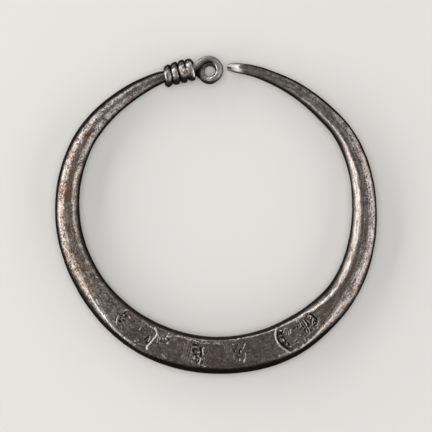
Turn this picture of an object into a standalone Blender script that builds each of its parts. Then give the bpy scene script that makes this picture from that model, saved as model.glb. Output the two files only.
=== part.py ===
"""A silver bracelet: one bar bent into an open hoop that lies flat.

The bar is broad and flat at the front and narrows along both arms, where broad
facets run along its inner and outer sides.  One end is a short blunt hook.  The
other is drawn out to a wire, coiled twice into an eye and wrapped back round its
own stem.  It is all one piece of metal, so it is one closed solid.

Lengths are in millimetres here and are turned to metres when the mesh is made.
The hoop lies in the XY plane with its broad front towards -Y and +Z up.
"""

import math

import bmesh
import bpy
from mathutils import Vector
from mathutils.geometry import interpolate_bezier

MM = 0.001

# Driving dimensions
FRONT_THICKNESS = 5.5
MID_HEIGHT = FRONT_THICKNESS / 2
RING_POINTS = 16

# The hoop at its stations.  A turn is in degrees round from the front, positive
# towards the hook.  The four radii are the inner side, the two edges of the flat
# band on top, and the outer side.  Roundness is 0 for facets and 1 for an oval.
#  turn  inner  flat from  flat to  outer  thickness  roundness
STATIONS = (
    (-158, 33.2, 34.1, 35.1, 36.1, 2.7, 1.0),
    (-145, 32.9, 34.6, 35.5, 36.8, 3.4, 0.3),
    (-120, 33.0, 34.8, 35.6, 38.1, 4.4, 0.0),
    (-90, 32.0, 33.7, 35.1, 37.8, 5.0, 0.0),
    (-60, 30.3, 31.6, 34.4, 37.1, 5.2, 0.0),
    (-30, 28.9, 30.0, 35.9, 37.3, 5.5, 0.0),
    (0, 28.6, 29.5, 35.7, 37.3, 5.5, 0.0),
    (30, 29.2, 30.2, 36.6, 38.1, 5.5, 0.0),
    (45, 30.1, 31.8, 35.7, 38.0, 5.3, 0.0),
    (60, 31.2, 33.4, 35.2, 38.1, 5.2, 0.0),
    (90, 31.7, 33.9, 35.1, 37.6, 5.0, 0.0),
    (120, 32.9, 34.6, 35.3, 37.7, 4.4, 0.0),
    (135, 32.7, 34.2, 35.6, 36.9, 3.9, 0.0),
    (150, 32.9, 34.2, 35.6, 36.4, 3.2, 0.3),
    (170, 33.5, 34.4, 35.2, 35.95, 2.3, 1.0),
)
HOOP_STEP = 3

# Where the facets meet, as shares of the half thickness and of a flank's width
WALL_SHARE = 0.22
FACET_SHARE = 0.52
SHOULDER_SHARE = 0.93
WALL_INSET = 0.24
SHOULDER_INSET = 0.82

# The hook bends down from the last station
HOOK_BEND_RADIUS = 2.9
HOOK_BEND_DEGREES = 56
HOOK_STEPS = 6

# The wire: its stem, the eye of two turns and the wrapping of four.  The stem runs
# inside the wrapping and leans outwards as it leaves it.
#  turn  radius  height  width  thickness
STEM = (
    (-160.3, 34.55, 2.8, 2.25, 2.05),
    (-164, 34.55, 2.8, 2.1, 1.9),
    (-168, 34.6, 2.85, 2.0, 1.8),
    (-170.3, 34.7, 2.95, 1.85, 1.6),
    (-172.2, 35.05, 3.15, 1.8, 1.5),
)
EYE_CENTRE = Vector((-1.55, 33.58))
EYE_WIDTH = 1.8
EYE_THICKNESS = 1.4
EYE_TOP_HEIGHT = 3.5
EYE_DROP_A_TURN = 1.47
EYE_FROM = -40
EYE_TO = 590
EYE_STEP = 18
# Degrees clockwise round the eye from its far side, and the radius there
EYE_SPIRAL = ((-40, 2.95), (0, 2.7), (90, 2.22), (180, 1.98), (270, 1.9), (360, 1.98), (590, 1.95))

WRAP_FROM = -180
WRAP_TO = 1210
WRAP_WIDTH = 1.6
WRAP_THICKNESS = 1.35
WRAP_HOOP_RADIUS = 34.5
WRAP_FIRST_FRONT = -169.8
WRAP_PITCH_DEGREES = 2.93
WRAP_HEIGHT = 2.83
WRAP_STEP = 20
BRIDGE_STEPS = 3
# Degrees along the wrapping from its first pass over the front, and the radius there
WRAP_SPIRAL = ((-180, 1.95), (0, 2.05), (360, 2.1), (720, 2.08), (1080, 1.95), (1210, 1.99))
DOME = ((0.0, 1.0), (0.5, 0.87), (0.85, 0.53))

SILVER = (0.32, 0.29, 0.26, 1.0)


def hermite(rows, place, column):
    """Return a smooth value between rows that start with their place."""
    places = [row[0] for row in rows]
    last = len(rows) - 2
    index = max(0, min(last, sum(1 for p in places if p <= place) - 1))
    before, here, there, after = (
        rows[max(index - 1, 0)], rows[index], rows[index + 1], rows[min(index + 2, last + 1)])
    span = there[0] - here[0]
    slope_here = (there[column] - before[column]) / (there[0] - before[0]) * span
    slope_there = (after[column] - here[column]) / (after[0] - here[0]) * span
    t = (place - here[0]) / span
    return (
        here[column] * (2 * t**3 - 3 * t**2 + 1)
        + slope_here * (t**3 - 2 * t**2 + t)
        + there[column] * (3 * t**2 - 2 * t**3)
        + slope_there * (t**3 - t**2)
    )


def outward(turn):
    """Return the unit vector from the hoop's centre towards a turn."""
    angle = math.radians(turn)
    return Vector((math.sin(angle), -math.cos(angle), 0.0))


def oval(width, thickness):
    """Return the ring of an oval section as (outwards, upwards) pairs."""
    step = 2 * math.pi / RING_POINTS
    angles = [step * (index + 0.5) for index in range(RING_POINTS)]
    return [(width / 2 * math.cos(a), thickness / 2 * math.sin(a)) for a in angles]


def quarter(flat_edge, side, half):
    """Return one flank's corners from the wall up to the edge of the flat band."""
    flank = side - flat_edge
    return [
        (side, half * WALL_SHARE),
        (side - flank * WALL_INSET, half * FACET_SHARE),
        (side - flank * SHOULDER_INSET, half * SHOULDER_SHARE),
        (flat_edge, half),
    ]


def hoop_section(turn):
    """Return the hoop's centre radius at a turn and its section round that centre."""
    inner, flat_from, flat_to, outer, thickness, roundness = (
        hermite(STATIONS, turn, column) for column in range(1, 7))
    centre = (inner + outer) / 2
    half = min(thickness, FRONT_THICKNESS) / 2
    upper_outer = quarter(flat_to - centre, outer - centre, half)
    upper_inner = quarter(flat_from - centre, inner - centre, half)
    upper = upper_outer + upper_inner[::-1]
    lower = [(across, -up) for across, up in upper[::-1]]
    share = max(0.0, min(1.0, roundness))
    section = [
        (faceted[0] * (1 - share) + round_[0] * share, faceted[1] * (1 - share) + round_[1] * share)
        for faceted, round_ in zip(upper + lower, oval(outer - inner, thickness))
    ]
    return centre, section


def place_section(centre, across, up, section, scale=1.0):
    """Return the section's points in space."""
    return [centre + across * (a * scale) + up * (u * scale) for a, u in section]


def hook_rings():
    """Return the rings of the hook, from its blunt end up to the hoop's last station."""
    last_turn = STATIONS[-1][0]
    radius, section = hoop_section(last_turn)
    half = STATIONS[-1][5] / 2
    rings = []
    bends = [HOOK_BEND_DEGREES * step / HOOK_STEPS for step in range(HOOK_STEPS, 0, -1)]
    for order, bend in enumerate(bends):
        angle = math.radians(bend)
        run = HOOK_BEND_RADIUS * math.sin(angle)
        turn = last_turn + math.degrees(run / radius)
        across = outward(turn)
        onward = Vector((-across.y, across.x, 0.0))
        up = Vector((0.0, 0.0, math.cos(angle))) + onward * math.sin(angle)
        ahead = onward * math.cos(angle) - Vector((0.0, 0.0, math.sin(angle)))
        height = MID_HEIGHT - HOOK_BEND_RADIUS * (1 - math.cos(angle))
        centre = across * radius + Vector((0.0, 0.0, height))
        if order == 0:
            for reach, scale in DOME[:0:-1]:
                rings.append(place_section(centre + ahead * half * reach, across, up, section, scale))
        rings.append(place_section(centre, across, up, section))
    return rings


def hoop_rings():
    """Return the rings of the hoop, from the hook round the front to the stem."""
    first, last = STATIONS[-1][0], STATIONS[0][0]
    count = round((first - last) / HOOP_STEP)
    rings = []
    for step in range(count + 1):
        turn = first + (last - first) * step / count
        radius, section = hoop_section(turn)
        across = outward(turn)
        centre = across * radius + Vector((0.0, 0.0, MID_HEIGHT))
        rings.append(place_section(centre, across, Vector((0.0, 0.0, 1.0)), section))
    return rings


def eye_point(degrees):
    """Return a point of the wire on the eye's descending spiral."""
    radius = hermite(EYE_SPIRAL, degrees, 1)
    angle = math.radians(degrees)
    flat = EYE_CENTRE + Vector((math.sin(angle), math.cos(angle))) * radius
    height = EYE_TOP_HEIGHT - EYE_DROP_A_TURN * (degrees - EYE_FROM) / 360
    return Vector((flat.x, flat.y, height))


def wrap_point(degrees):
    """Return a point of the wrapping and the direction from it to the stem."""
    turn = WRAP_FIRST_FRONT + WRAP_PITCH_DEGREES * degrees / 360
    angle = math.radians(degrees)
    away = Vector((0.0, 0.0, math.cos(angle))) - outward(turn) * math.sin(angle)
    axis = outward(turn) * WRAP_HOOP_RADIUS + Vector((0.0, 0.0, WRAP_HEIGHT))
    return axis + away * hermite(WRAP_SPIRAL, degrees, 1), -away


def bridge(start, start_towards, end, end_from, steps):
    """Return the points of a smooth curve between two places, without its ends."""
    reach = (end - start).length * 0.36
    handle_1 = start + start_towards.normalized() * reach
    handle_2 = end - end_from.normalized() * reach
    return interpolate_bezier(start, handle_1, handle_2, end, steps + 2)[1:-1]


def wire_route():
    """Return the wire's stops as (place, up, width, thickness), from the hoop onwards."""
    up = Vector((0.0, 0.0, 1.0))
    stops = []
    for turn, radius, height, width, thickness in STEM:
        stops.append((outward(turn) * radius + up * height, up, width, thickness))
    eye_count = round((EYE_TO - EYE_FROM) / EYE_STEP)
    for step in range(eye_count + 1):
        degrees = EYE_FROM + (EYE_TO - EYE_FROM) * step / eye_count
        stops.append((eye_point(degrees), up, EYE_WIDTH, EYE_THICKNESS))
    eye_end = eye_point(EYE_TO)
    eye_heading = eye_end - eye_point(EYE_TO - 2)
    wrap_start = wrap_point(WRAP_FROM)[0]
    wrap_heading = wrap_point(WRAP_FROM + 2)[0] - wrap_start
    for place in bridge(eye_end, eye_heading, wrap_start, wrap_heading, BRIDGE_STEPS):
        stops.append((place, up, WRAP_WIDTH, WRAP_THICKNESS))
    count = round((WRAP_TO - WRAP_FROM) / WRAP_STEP)
    for step in range(count + 1):
        place, towards_stem = wrap_point(WRAP_FROM + (WRAP_TO - WRAP_FROM) * step / count)
        stops.append((place, towards_stem, WRAP_WIDTH, WRAP_THICKNESS))
    return stops


def wire_rings():
    """Return the rings along the wire, square to its route, with a domed end."""
    stops = wire_route()
    rings = []
    for index, (place, up, width, thickness) in enumerate(stops):
        before = stops[max(index - 1, 0)][0]
        after = stops[min(index + 1, len(stops) - 1)][0]
        ahead = (after - before).normalized()
        across = up.cross(ahead).normalized()
        square_up = ahead.cross(across)
        section = oval(width, thickness)
        rings.append(place_section(place, across, square_up, section))
    for reach, scale in DOME[1:]:
        tip = place + ahead * (thickness / 2 * reach)
        rings.append(place_section(tip, across, square_up, section, scale))
    return rings


def loft(name, rings, material):
    """Join the rings into one closed skin and return its object."""
    mesh = bpy.data.meshes.new(name)
    shell = bmesh.new()
    loops = [[shell.verts.new(point * MM) for point in ring] for ring in rings]
    for loop, following in zip(loops, loops[1:]):
        for index in range(RING_POINTS):
            beside = (index + 1) % RING_POINTS
            shell.faces.new((loop[index], loop[beside], following[beside], following[index]))
    shell.faces.new(loops[0])
    shell.faces.new(loops[-1])
    bmesh.ops.recalc_face_normals(shell, faces=shell.faces)
    shell.to_mesh(mesh)
    shell.free()
    mesh.materials.append(material)
    mesh.shade_smooth()
    mesh.set_sharp_from_angle(angle=math.radians(24))
    return bpy.data.objects.new(name, mesh)


def centre_on_base(made):
    """Move the mesh so that the middle of its base is at the origin."""
    points = [vertex.co for vertex in made.data.vertices]
    low = Vector(min(p[axis] for p in points) for axis in range(3))
    high = Vector(max(p[axis] for p in points) for axis in range(3))
    shift = Vector((-(low.x + high.x) / 2, -(low.y + high.y) / 2, -low.z))
    for vertex in made.data.vertices:
        vertex.co += shift


def tarnished_silver():
    """Return the plain metal of the solid."""
    material = bpy.data.materials.new("tarnished_silver")
    material.use_nodes = True
    shader = material.node_tree.nodes["Principled BSDF"]
    shader.inputs["Base Color"].default_value = SILVER
    shader.inputs["Metallic"].default_value = 1.0
    shader.inputs["Roughness"].default_value = 0.42
    return material


def main():
    for existing in list(bpy.data.objects):
        bpy.data.objects.remove(existing)
    collection = bpy.data.collections.new("silver_bracelet")
    bpy.context.scene.collection.children.link(collection)
    rings = hook_rings() + hoop_rings() + wire_rings()
    bracelet = loft("bracelet", rings, tarnished_silver())
    centre_on_base(bracelet)
    collection.objects.link(bracelet)


main()
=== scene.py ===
"""The looks of a silver bracelet: one bar of old coin silver, forged and bent into an
open hoop.  Its broad front is flat and carries three worn stamps, its arms are beaten
to facets, one end is a blunt hook and the other is a wire, coiled into an eye and
wrapped back round its own stem.

Shapes are worked out in millimetres and become metres when a mesh gets its points.
A turn is in degrees round the hoop from the middle of the front, positive towards
the hook, and a radius is from the hoop's centre.  Wear, dirt, bare metal and the like
are shares: 0 is none, and 1 or more is full.  A random pattern has a size in millimetres
and a seed.
"""

import math
from functools import partial

import bpy
import numpy as np
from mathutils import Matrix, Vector, noise
from mathutils.geometry import interpolate_bezier


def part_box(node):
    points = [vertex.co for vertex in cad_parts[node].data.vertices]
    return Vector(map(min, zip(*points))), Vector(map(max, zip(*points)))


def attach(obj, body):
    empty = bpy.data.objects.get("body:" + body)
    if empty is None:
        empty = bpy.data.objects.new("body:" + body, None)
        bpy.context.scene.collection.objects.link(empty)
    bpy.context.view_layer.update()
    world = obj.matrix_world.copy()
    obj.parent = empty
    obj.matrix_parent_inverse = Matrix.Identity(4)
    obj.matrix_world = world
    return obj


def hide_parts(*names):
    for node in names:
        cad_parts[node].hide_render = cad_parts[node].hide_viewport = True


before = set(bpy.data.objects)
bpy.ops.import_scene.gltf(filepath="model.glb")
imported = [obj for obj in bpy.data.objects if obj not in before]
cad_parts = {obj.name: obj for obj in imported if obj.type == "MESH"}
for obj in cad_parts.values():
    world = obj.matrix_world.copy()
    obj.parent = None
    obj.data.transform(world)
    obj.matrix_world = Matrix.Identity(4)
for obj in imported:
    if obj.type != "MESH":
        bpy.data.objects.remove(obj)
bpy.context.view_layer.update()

MM = 0.001
TINY = 1e-9
LEVEL = np.array([0.0, 0.0, 1.0])
# How far a seed moves a pattern in x, y and z
SEED_SPREAD = (1.0, 0.37, -0.71)

# The sheets that the bar and the wire are rolled up from, how close points are welded,
# and how near to an end's middle its last ring's points lie
STOCK_SIZE = 60 * MM
WELD = 0.001 * MM
TIP_REACH = 0.06 * MM

# The bar as the solid has it.  The radii are its inner side, the two edges of the flat
# band on top and its outer side.  Roundness is 0 for facets and 1 for an oval.
#  turn  inner  flat from  flat to  outer  thickness  roundness
STATIONS = (
    (-161.5, 33.45, 34.3, 34.8, 35.65, 2.0, 1.0),
    (-158, 33.2, 34.1, 35.1, 36.1, 2.7, 1.0),
    (-145, 32.9, 34.6, 35.5, 36.8, 3.4, 0.3),
    (-120, 33.0, 34.8, 35.6, 38.1, 4.4, 0.0),
    (-90, 32.0, 33.7, 35.1, 37.8, 5.0, 0.0),
    (-60, 30.3, 31.6, 34.4, 37.1, 5.2, 0.0),
    (-30, 28.9, 30.0, 35.9, 37.3, 5.5, 0.0),
    (0, 28.6, 29.5, 35.7, 37.3, 5.5, 0.0),
    (30, 29.2, 30.2, 36.6, 38.1, 5.5, 0.0),
    (45, 30.1, 31.8, 35.7, 38.0, 5.3, 0.0),
    (60, 31.2, 33.4, 35.2, 38.1, 5.2, 0.0),
    (90, 31.7, 33.9, 35.1, 37.6, 5.0, 0.0),
    (120, 32.9, 34.6, 35.3, 37.7, 4.4, 0.0),
    (135, 32.7, 34.2, 35.6, 36.9, 3.9, 0.0),
    (150, 32.9, 34.2, 35.6, 36.4, 3.2, 0.3),
    (170, 33.5, 34.4, 35.2, 35.95, 2.3, 1.0),
)
FRONT_THICKNESS = 5.5
MID_HEIGHT = FRONT_THICKNESS / 2

# A flank's corners from the bar's side up to the edge of the flat band, as shares of
# the flank's width inwards and of the half thickness upwards.  The outer flank is a
# bevel at the front and round along the arms.
BEVEL_CORNERS = ((0.0, 0.0), (0.0, 0.16), (0.22, 0.50), (0.58, 0.86), (1.0, 1.0))
ROUND_CORNERS = ((0.0, 0.0), (0.0, 0.25), (0.20, 0.66), (0.64, 0.95), (1.0, 1.0))
INNER_CORNERS = ((0.0, 0.0), (0.0, 0.22), (0.26, 0.56), (0.80, 0.94), (1.0, 1.0))
CORNER_CUTS = 3
CORNER_PASSES = 6

# Between which turns the front passes into the arms: the outer flank gets round, the
# points are evened out, dents take the place of pits, and the inner side gets smoother
ARM_ROUNDED, ARM_EVENED, ARM_DENTED, ARM_SMOOTHER = (62, 84), (48, 64), (46, 60), (50, 66)

# How far wear and burrs have moved the flat band's outer edge, as (turn, millimetres)
EDGE_SHIFT = (
    (-160, -0.1), (-146, -0.4), (-130, -0.6), (-116, -0.6), (-98, -0.4), (-80, -0.5), (-56, -0.5),
    (-48, -0.1), (-38, 0.2), (-31, 0.45), (-24, 0.05), (-18, -0.2), (0, -0.2), (10, -0.4), (18, -0.7),
    (25, -0.2), (30, 0.0), (36, 0.25), (44, 0.05), (58, -0.4), (68, -0.2), (80, -0.1), (100, -0.25),
    (124, -0.3), (140, 0.0),
)

# How far the middle of the flat band stands above its edges, as (turn, millimetres)
CROWN = ((-161, 0.0), (-100, 0.07), (-60, 0.08), (-40, 0.0), (40, 0.0), (60, 0.06), (120, 0.07), (161, 0.0))

# How many faces a section has on each part of its way round: the outer flank, the
# flat band, the inner flank, and the same three underneath, where little shows
OUTER_FACES, FLAT_FACES, INNER_FACES, LOWER_FACES, BASE_FACES = 14, 46, 12, 6, 8

# From one turn to the next, the space between rings: close where the stamps are
RING_SPACES = (
    (169.4, 48, 0.38),
    (48, 20, 0.1),
    (20, 13.5, 0.2),
    (13.5, 2, 0.1),
    (2, -3.5, 0.2),
    (-3.5, -46, 0.1),
    (-46, -161.5, 0.38),
)
MIDDLE_RADIUS = 33.3

# How much lighter the painted shade on the sides is where they stand upright, and between
# which tilts that starts
UPRIGHT_SHADE_LIFT = 0.35
UPRIGHT_TILTS = (60, 88)

# How much bare metal shows along the outer flank, the inner one and the flat band, and
# down to which tilt from level it shows on the flanks, each as (turn, value).  On the flanks it is partly a
# painted highlight, set higher where they face the side lights
OUTER_BARE_AND_SHEEN = (
    (-161, 0.2), (-154, 0.45), (-146, 1.0), (-130, 1.25), (-116, 1.2), (-98, 0.9), (-80, 1.0), (-56, 1.0),
    (-44, 0.8), (-34, 0.35), (-24, 0.1), (18, 0.1), (26, 0.4), (34, 0.8), (46, 0.7), (58, 0.75),
    (88, 0.75), (106, 0.92), (130, 0.7), (145, 0.4), (160, 0.2),
)
INNER_BARE_AND_SHEEN = (
    (-161, 0.15), (-154, 0.3), (-146, 0.75), (-130, 1.0), (-112, 1.05), (-98, 0.8), (-80, 0.75),
    (-60, 0.35), (-46, 0.1), (-30, 0.15), (-20, 0.3), (20, 0.3), (32, 0.8), (46, 0.95), (72, 0.6),
    (88, 0.64), (106, 0.72), (130, 0.9), (145, 0.8), (155, 0.3), (168, 0.1), (169.4, 0.2),
)
FLAT_BARE = (
    (-161, 0.1), (-150, 0.0), (-120, 0.0), (-92, 0.15), (-60, 0.4), (-46, 0.35), (-36, 0.12), (-24, 0.15),
    (-14, 0.0), (12, 0.0), (22, 0.08), (46, 0.05), (66, 0.12), (84, 0.16), (120, 0.14), (140, 0.45),
    (162, 0.38), (169.4, 0.4),
)
OUTER_TILT = (
    (-161, 32), (-146, 26), (-130, 29), (-116, 33), (-98, 41), (-80, 40.5), (-60, 36.5), (-46, 42),
    (-20, 34), (20, 34), (34, 40), (46, 44), (60, 44), (72, 46), (88, 50), (106, 46), (120, 46),
    (135, 43), (160, 40), (169.6, 50), (170.4, 55),
)
INNER_TILT = (
    (-161, 36), (-146, 40), (-130, 42), (-116, 46), (-98, 46.5), (-80, 47), (-50, 55), (-20, 58),
    (20, 58), (34, 54), (46, 50), (58, 41), (72, 44), (88, 48), (106, 50), (120, 41), (130, 40),
    (145, 40), (160, 36), (169.6, 48), (170.4, 53),
)

# How coarse the skin's grain is, as (turn, share), and how much smoother it is along the
# inner side of the hook's arm
GRIT = (
    (-161, 0.7), (-150, 1.6), (-124, 1.5), (-100, 1.0), (-60, 1.1), (-45, 0.8), (-30, 0.6), (-20, 0.7),
    (-4, 0.5), (10, 0.55), (22, 0.7), (30, 0.75), (60, 0.8), (110, 0.9), (150, 0.8), (162, 0.5),
    (168, 0.15),
)
INNER_SMOOTHNESS = 0.6

# Dirt along the middle of the arms, as (turn, share)
GROOVE_DIRT = (
    (-156, 0.0), (-146, 0.3), (-132, 0.25), (-90, 0.25), (-62, 0.0), (62, 0.0), (84, 0.12), (110, 0.12),
    (128, 0.0),
)

# Where copper from the alloy blushes through: turn, radius, reach, share
BLUSHES = (
    (-99.0, 35.9, 2.2, 1.0),
    (-105.0, 35.3, 1.5, 0.6),
    (-113.0, 36.4, 2.0, 0.5),
    (-122.0, 35.3, 1.4, 1.0),
    (-91.0, 36.6, 1.4, 0.5),
    (-84.0, 34.9, 1.5, 0.6),
    (-76.0, 35.9, 1.7, 0.5),
    (-69.0, 34.0, 1.7, 0.7),
    (-61.0, 34.6, 1.6, 0.6),
    (62.0, 36.0, 1.2, 0.4),
)

# How warm the silver and its tarnish look, as (turn, share)
WARMTH = (
    (-161, 0.3), (-146, 0.2), (-124, 0.3), (-106, 0.6), (-74, 0.75), (-56, 0.5), (-36, 0.75), (0, 1.0),
    (20, 0.75), (55, 0.5), (80, 0.4), (110, 0.5), (140, 0.3), (162, 0.3), (169, 0.1),
)

# Worn bright lines along the flat band's two edges, as (turn, share)
OUTER_LINE = (
    (-62, 0.0), (-50, 0.6), (-36, 0.5), (-30, 0.25), (-10, 0.2), (16, 0.1), (22, 0.7), (34, 0.8),
    (48, 0.5), (60, 0.0),
)
INNER_LINE = (
    (-60, 0.0), (-46, 0.2), (-26, 0.3), (-22, 0.4), (0, 0.35), (4, 0.2), (18, 0.3), (26, 0.6), (36, 0.9),
    (48, 0.6), (60, 0.0),
)
LINE_REACH = 0.22

# Crumbs of bright metal in a band along the flat's outer edge, as (turn, share)
CRUMBS = (
    (-62, 0.0), (-50, 0.3), (-34, 0.4), (-22, 0.5), (-4, 0.55), (8, 0.4), (16, 0.1), (24, 0.3), (44, 0.4),
    (56, 0.2), (70, 0.0),
)
CRUMB_REACH = 1.3

# The hook: how far it has bent down at a share of the way along it, in degrees, between
# which turns it gets worn bright, how blunt its end is and how much it narrows
HOOK_BENDS = ((0.0, 0), (0.04, 12), (0.09, 25), (0.5, 26), (1.0, 23))
HOOK_WORN = (169.1, 169.7)
HOOK_LENGTH, HOOK_BLUNTNESS, HOOK_TAPER = 3.85, 0.35, 0.34

# Rings along the hook and on the domes that end the bar and the wire, and the share of
# full size that a dome's last ring keeps
HOOK_RINGS, DOME_RINGS, TIP_SCALE = 20, 7, 0.02

# The wire: its stem, then the eye of two turns, then the wrapping of four
#  turn  radius  height  width  thickness
STEM = (
    (-172.2, 35.05, 3.15, 1.8, 1.5),
    (-170.3, 34.7, 2.95, 1.85, 1.6),
    (-168, 34.6, 2.85, 2.0, 1.8),
    (-164, 34.55, 2.8, 2.1, 1.9),
    (-161.5, 34.55, 2.8, 2.2, 2.0),
)

# The eye, in degrees along its two turns: where it starts and ends, how wide the wire
# is, and the radius it runs at
EYE_CENTRE = Vector((-1.55, 33.58))
EYE_FROM, EYE_TO = -40, 590
EYE_THICKNESS = 1.4
EYE_WIDTHS = ((20, 1.42), (70, 1.8), (125, 1.75), (190, 1.45), (590, 1.42))
EYE_SPIRAL = (
    (-40, 3.05), (0, 2.9), (45, 2.52), (90, 2.24), (130, 2.12), (180, 2.08), (270, 2.0), (360, 1.96),
    (450, 2.02), (540, 2.3), (590, 2.2),
)
# How high the wire runs round the eye, how far its top leans outwards there, and how
# much painted shade its outer and inner sides take, each as (degrees, value)
EYE_HEIGHTS = (
    (-40, 3.5), (60, 3.45), (150, 3.3), (170, 3.15), (232, 2.1), (360, 1.92), (470, 1.6), (590, 1.05),
)
EYE_TWIST = ((0, 0.0), (25, 0.15), (55, 0.45), (120, 0.5), (160, 0.2), (200, 0.0))
EYE_OUTER_SHADE = (
    (40, 0.0), (70, 0.6), (110, 0.6), (140, 0.9), (165, 1.2), (205, 1.1), (230, 0.5), (300, 0.8),
    (330, 1.2),
)
EYE_INNER_SHADE = ((-40, 1.1), (10, 1.0), (35, 0.0), (300, 0.0), (330, 0.6))
# How bare the top of the wire is round the eye, and past it; where it faces the side lights this is partly a
# painted highlight
EYE_BARE_AND_SHEEN = (
    (-40, 0.7), (0, 0.4), (25, 0.3), (55, 0.8), (95, 0.85), (130, 1.2), (180, 1.6), (235, 1.7),
    (265, 0.6), (300, 0.2),
)

# The wrapping, in degrees round the stem: where it starts and ends, its section, how far
# it twists, how bare it is, which is partly a painted highlight, where its middle lies, its pitch, its
# radius and its lean
WRAP_FROM, WRAP_TO = -180, 1210
WRAP_WIDTH, WRAP_THICKNESS = 1.58, 1.35
WRAP_TWIST = ((-180, 0.0), (60, 0.05), (270, 0.3), (1040, 0.3), (1100, -0.3))
WRAP_BARE_AND_SHEEN = ((-180, 0.45), (180, 0.4), (360, 0.05), (540, 0.2), (720, 0.3), (990, 0.45))
WRAP_HOOP_RADIUS = 34.5
WRAP_FIRST_FRONT = -169.8
WRAP_PITCH_DEGREES = 3.0
WRAP_HEIGHT = 2.83
WRAP_SPIRAL = (
    (-180, 1.95), (0, 2.05), (270, 2.05), (360, 2.1), (450, 2.14), (630, 1.98), (720, 2.08), (810, 2.12),
    (990, 1.84), (1080, 1.96), (1170, 2.04), (1210, 2.04),
)
WRAP_LEAN = ((0, 1.0), (360, 0.5), (720, 0.25), (1080, 0.0))

# How many stops the stem has, and how many degrees apart the eye's and the wrapping's are
STEM_STOPS, EYE_STEP, WRAP_STEP = 24, 9, 6

# The bridge from the eye to the wrapping: its steps, and how long its curve holds its course
BRIDGE_STEPS, BRIDGE_REACH = 8, 0.36
# The degrees over which the ends that it joins are aimed
AIM_STEP = 2
# The part numbers of the stem and the eye, the bridge and the wrapping, and between which
# of them the bridge carries painted shade and the wrapping begins
EYE_PART, BRIDGE_PART, WRAP_PART = 0.0, 0.5, 1.0
BRIDGE_FROM, BRIDGE_TO, WRAPPED_PARTS = (0.1, 0.4), (0.6, 0.9), (0.7, 0.95)

# The wrapping's caps take painted shade beyond the line y = from + slope * x, with a ragged edge
CAP_LINE_FROM, CAP_LINE_SLOPE = 38.15, 0.396
CAP_EDGE, CAP_RAGGED, CAP_SHADE = 0.12, 0.15, 0.7
# Towards the inside of the hoop the wrapping takes painted shade within these radii, part of it in the
# dirt's colour
INNER_SHADE_RADII, INNER_RAGGED, INNER_SHADE_AS_DIRT = (32.7, 34.0), 0.25, 0.25
RAGGED_PATTERN = (0.9, 23.0)

# Where two turns of the wrapping have run together, as (x, y), how far that reaches, how
# it fills the gap with lumps, how much less painted shade it takes, and how dull, coppery and warm it is
FUSED_PLACE, FUSED_REACH = (-7.1, 33.1), 1.5
FUSED_RISE, FUSED_FILL = 0.06, 0.32
FUSED_LUMPS = ((0.14, 0.6, 19.0), (0.08, 0.3, 31.0))
FUSED_LESS_SHADE, FUSED_DULLER, FUSED_BLUSH, FUSED_WARMTH = 0.7, 0.4, 0.15, 0.4

# Where the wrapping's last turn has been rubbed bright down its side, as (x, y), and its width
RUBBED_LINE, RUBBED_WIDTH = ((-5.9, 34.75), (-5.5, 33.5), (-5.2, 32.35)), 0.34
RUBBED_SHINE = 0.5

# Lines that drawing left along the wire: place across it, depth
WIRE_GROOVES = ((-0.556, 0.10), (-0.195, 0.13), (0.195, 0.08), (0.556, 0.13))
# How far a groove reaches across the wire, and how deep it still is on the wrapping
GROOVE_REACH, WRAP_GROOVE_SHARE = 0.14, 0.5
# The fine lines beside the grooves, and how far they are drawn out along and across it
DRAWN_LINES, DRAWN_STRETCH, DRAWN_SPREAD = ((0.04, 0.42, 5.0),), 0.22, 0.9
WIRE_WAVES, WIRE_PITS = ((0.06, 1.6, 8.0),), (0.05, 0.30, 0.55, 0.6, 61.0)

# The space between the wire's rings, the points of a ring, how square the ring is, how
# far the end's dome sticks out, how often places and heights are evened out, and how
# much the length along the wire is lowered, so that its streaks are not the bar's
WIRE_SPACE, WIRE_POINTS, WIRE_SQUARENESS, WIRE_DOME = 0.2, 32, 0.72, 0.6
WIRE_PASSES, WIRE_SOFTENING, WIRE_FLOW_START = 8, 4, 500

# Between which tilts the wire's flanks turn bare with a painted highlight, stop being bare, and take painted
# shade
WIRE_FLANK_TILTS, WIRE_BARE_TO, WIRE_SIDE_SHADE_FROM = (8, 24), (46, 62), (47, 70)
# Where across the wire its outer side, its inner side and its open side begin, from -1
# to 1, and how much painted shade the eye's top, outside and inside take
OUTER_SIDE, INNER_SIDE, OPEN_AIR = (-0.3, 0.4), (0.0, 0.5), (-0.3, 0.2)
COIL_TOP, COIL_OUTSIDE, COIL_INSIDE = 0.1, 0.8, 0.75
# What bare flanks add, partly as a painted highlight, how much darker the wire is where it faces the stem or
# the floor, how coarse the grain is, at which height and depth spots are brightest and dirtiest, and how
# dirty
FLANK_BARE_AND_SHEEN, FACING_IN_DARKENING, WIRE_GRIT = 0.35, 0.7, 0.6
WIRE_HIGH_FULL, WIRE_LOW_FULL, WIRE_LOW_DIRT = 0.05, 0.06, 0.5


def smooth_between(rows, places, column):
    """Return smooth values at the places, between rows that start with theirs."""
    places = np.asarray(places, float)
    at = np.array([row[0] for row in rows], float)
    value = np.array([row[column] for row in rows], float)
    here = np.clip(np.searchsorted(at, places, side="right") - 1, 0, len(rows) - 2)
    there = here + 1
    before = np.maximum(here - 1, 0)
    after = np.minimum(here + 2, len(rows) - 1)
    span = at[there] - at[here]
    slope_here = (value[there] - value[before]) / (at[there] - at[before]) * span
    slope_there = (value[after] - value[here]) / (at[after] - at[here]) * span
    t = np.clip((places - at[here]) / span, 0.0, 1.0)
    return (
        value[here] * (2 * t**3 - 3 * t**2 + 1)
        + slope_here * (t**3 - 2 * t**2 + t)
        + value[there] * (3 * t**2 - 2 * t**3)
        + slope_there * (t**3 - t**2)
    )


def step_between(low, high, value):
    """Return 0 below low and 1 above high, with a soft rise between."""
    share = np.clip((value - low) / (high - low), 0.0, 1.0)
    return share * share * (3 - 2 * share)


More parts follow.
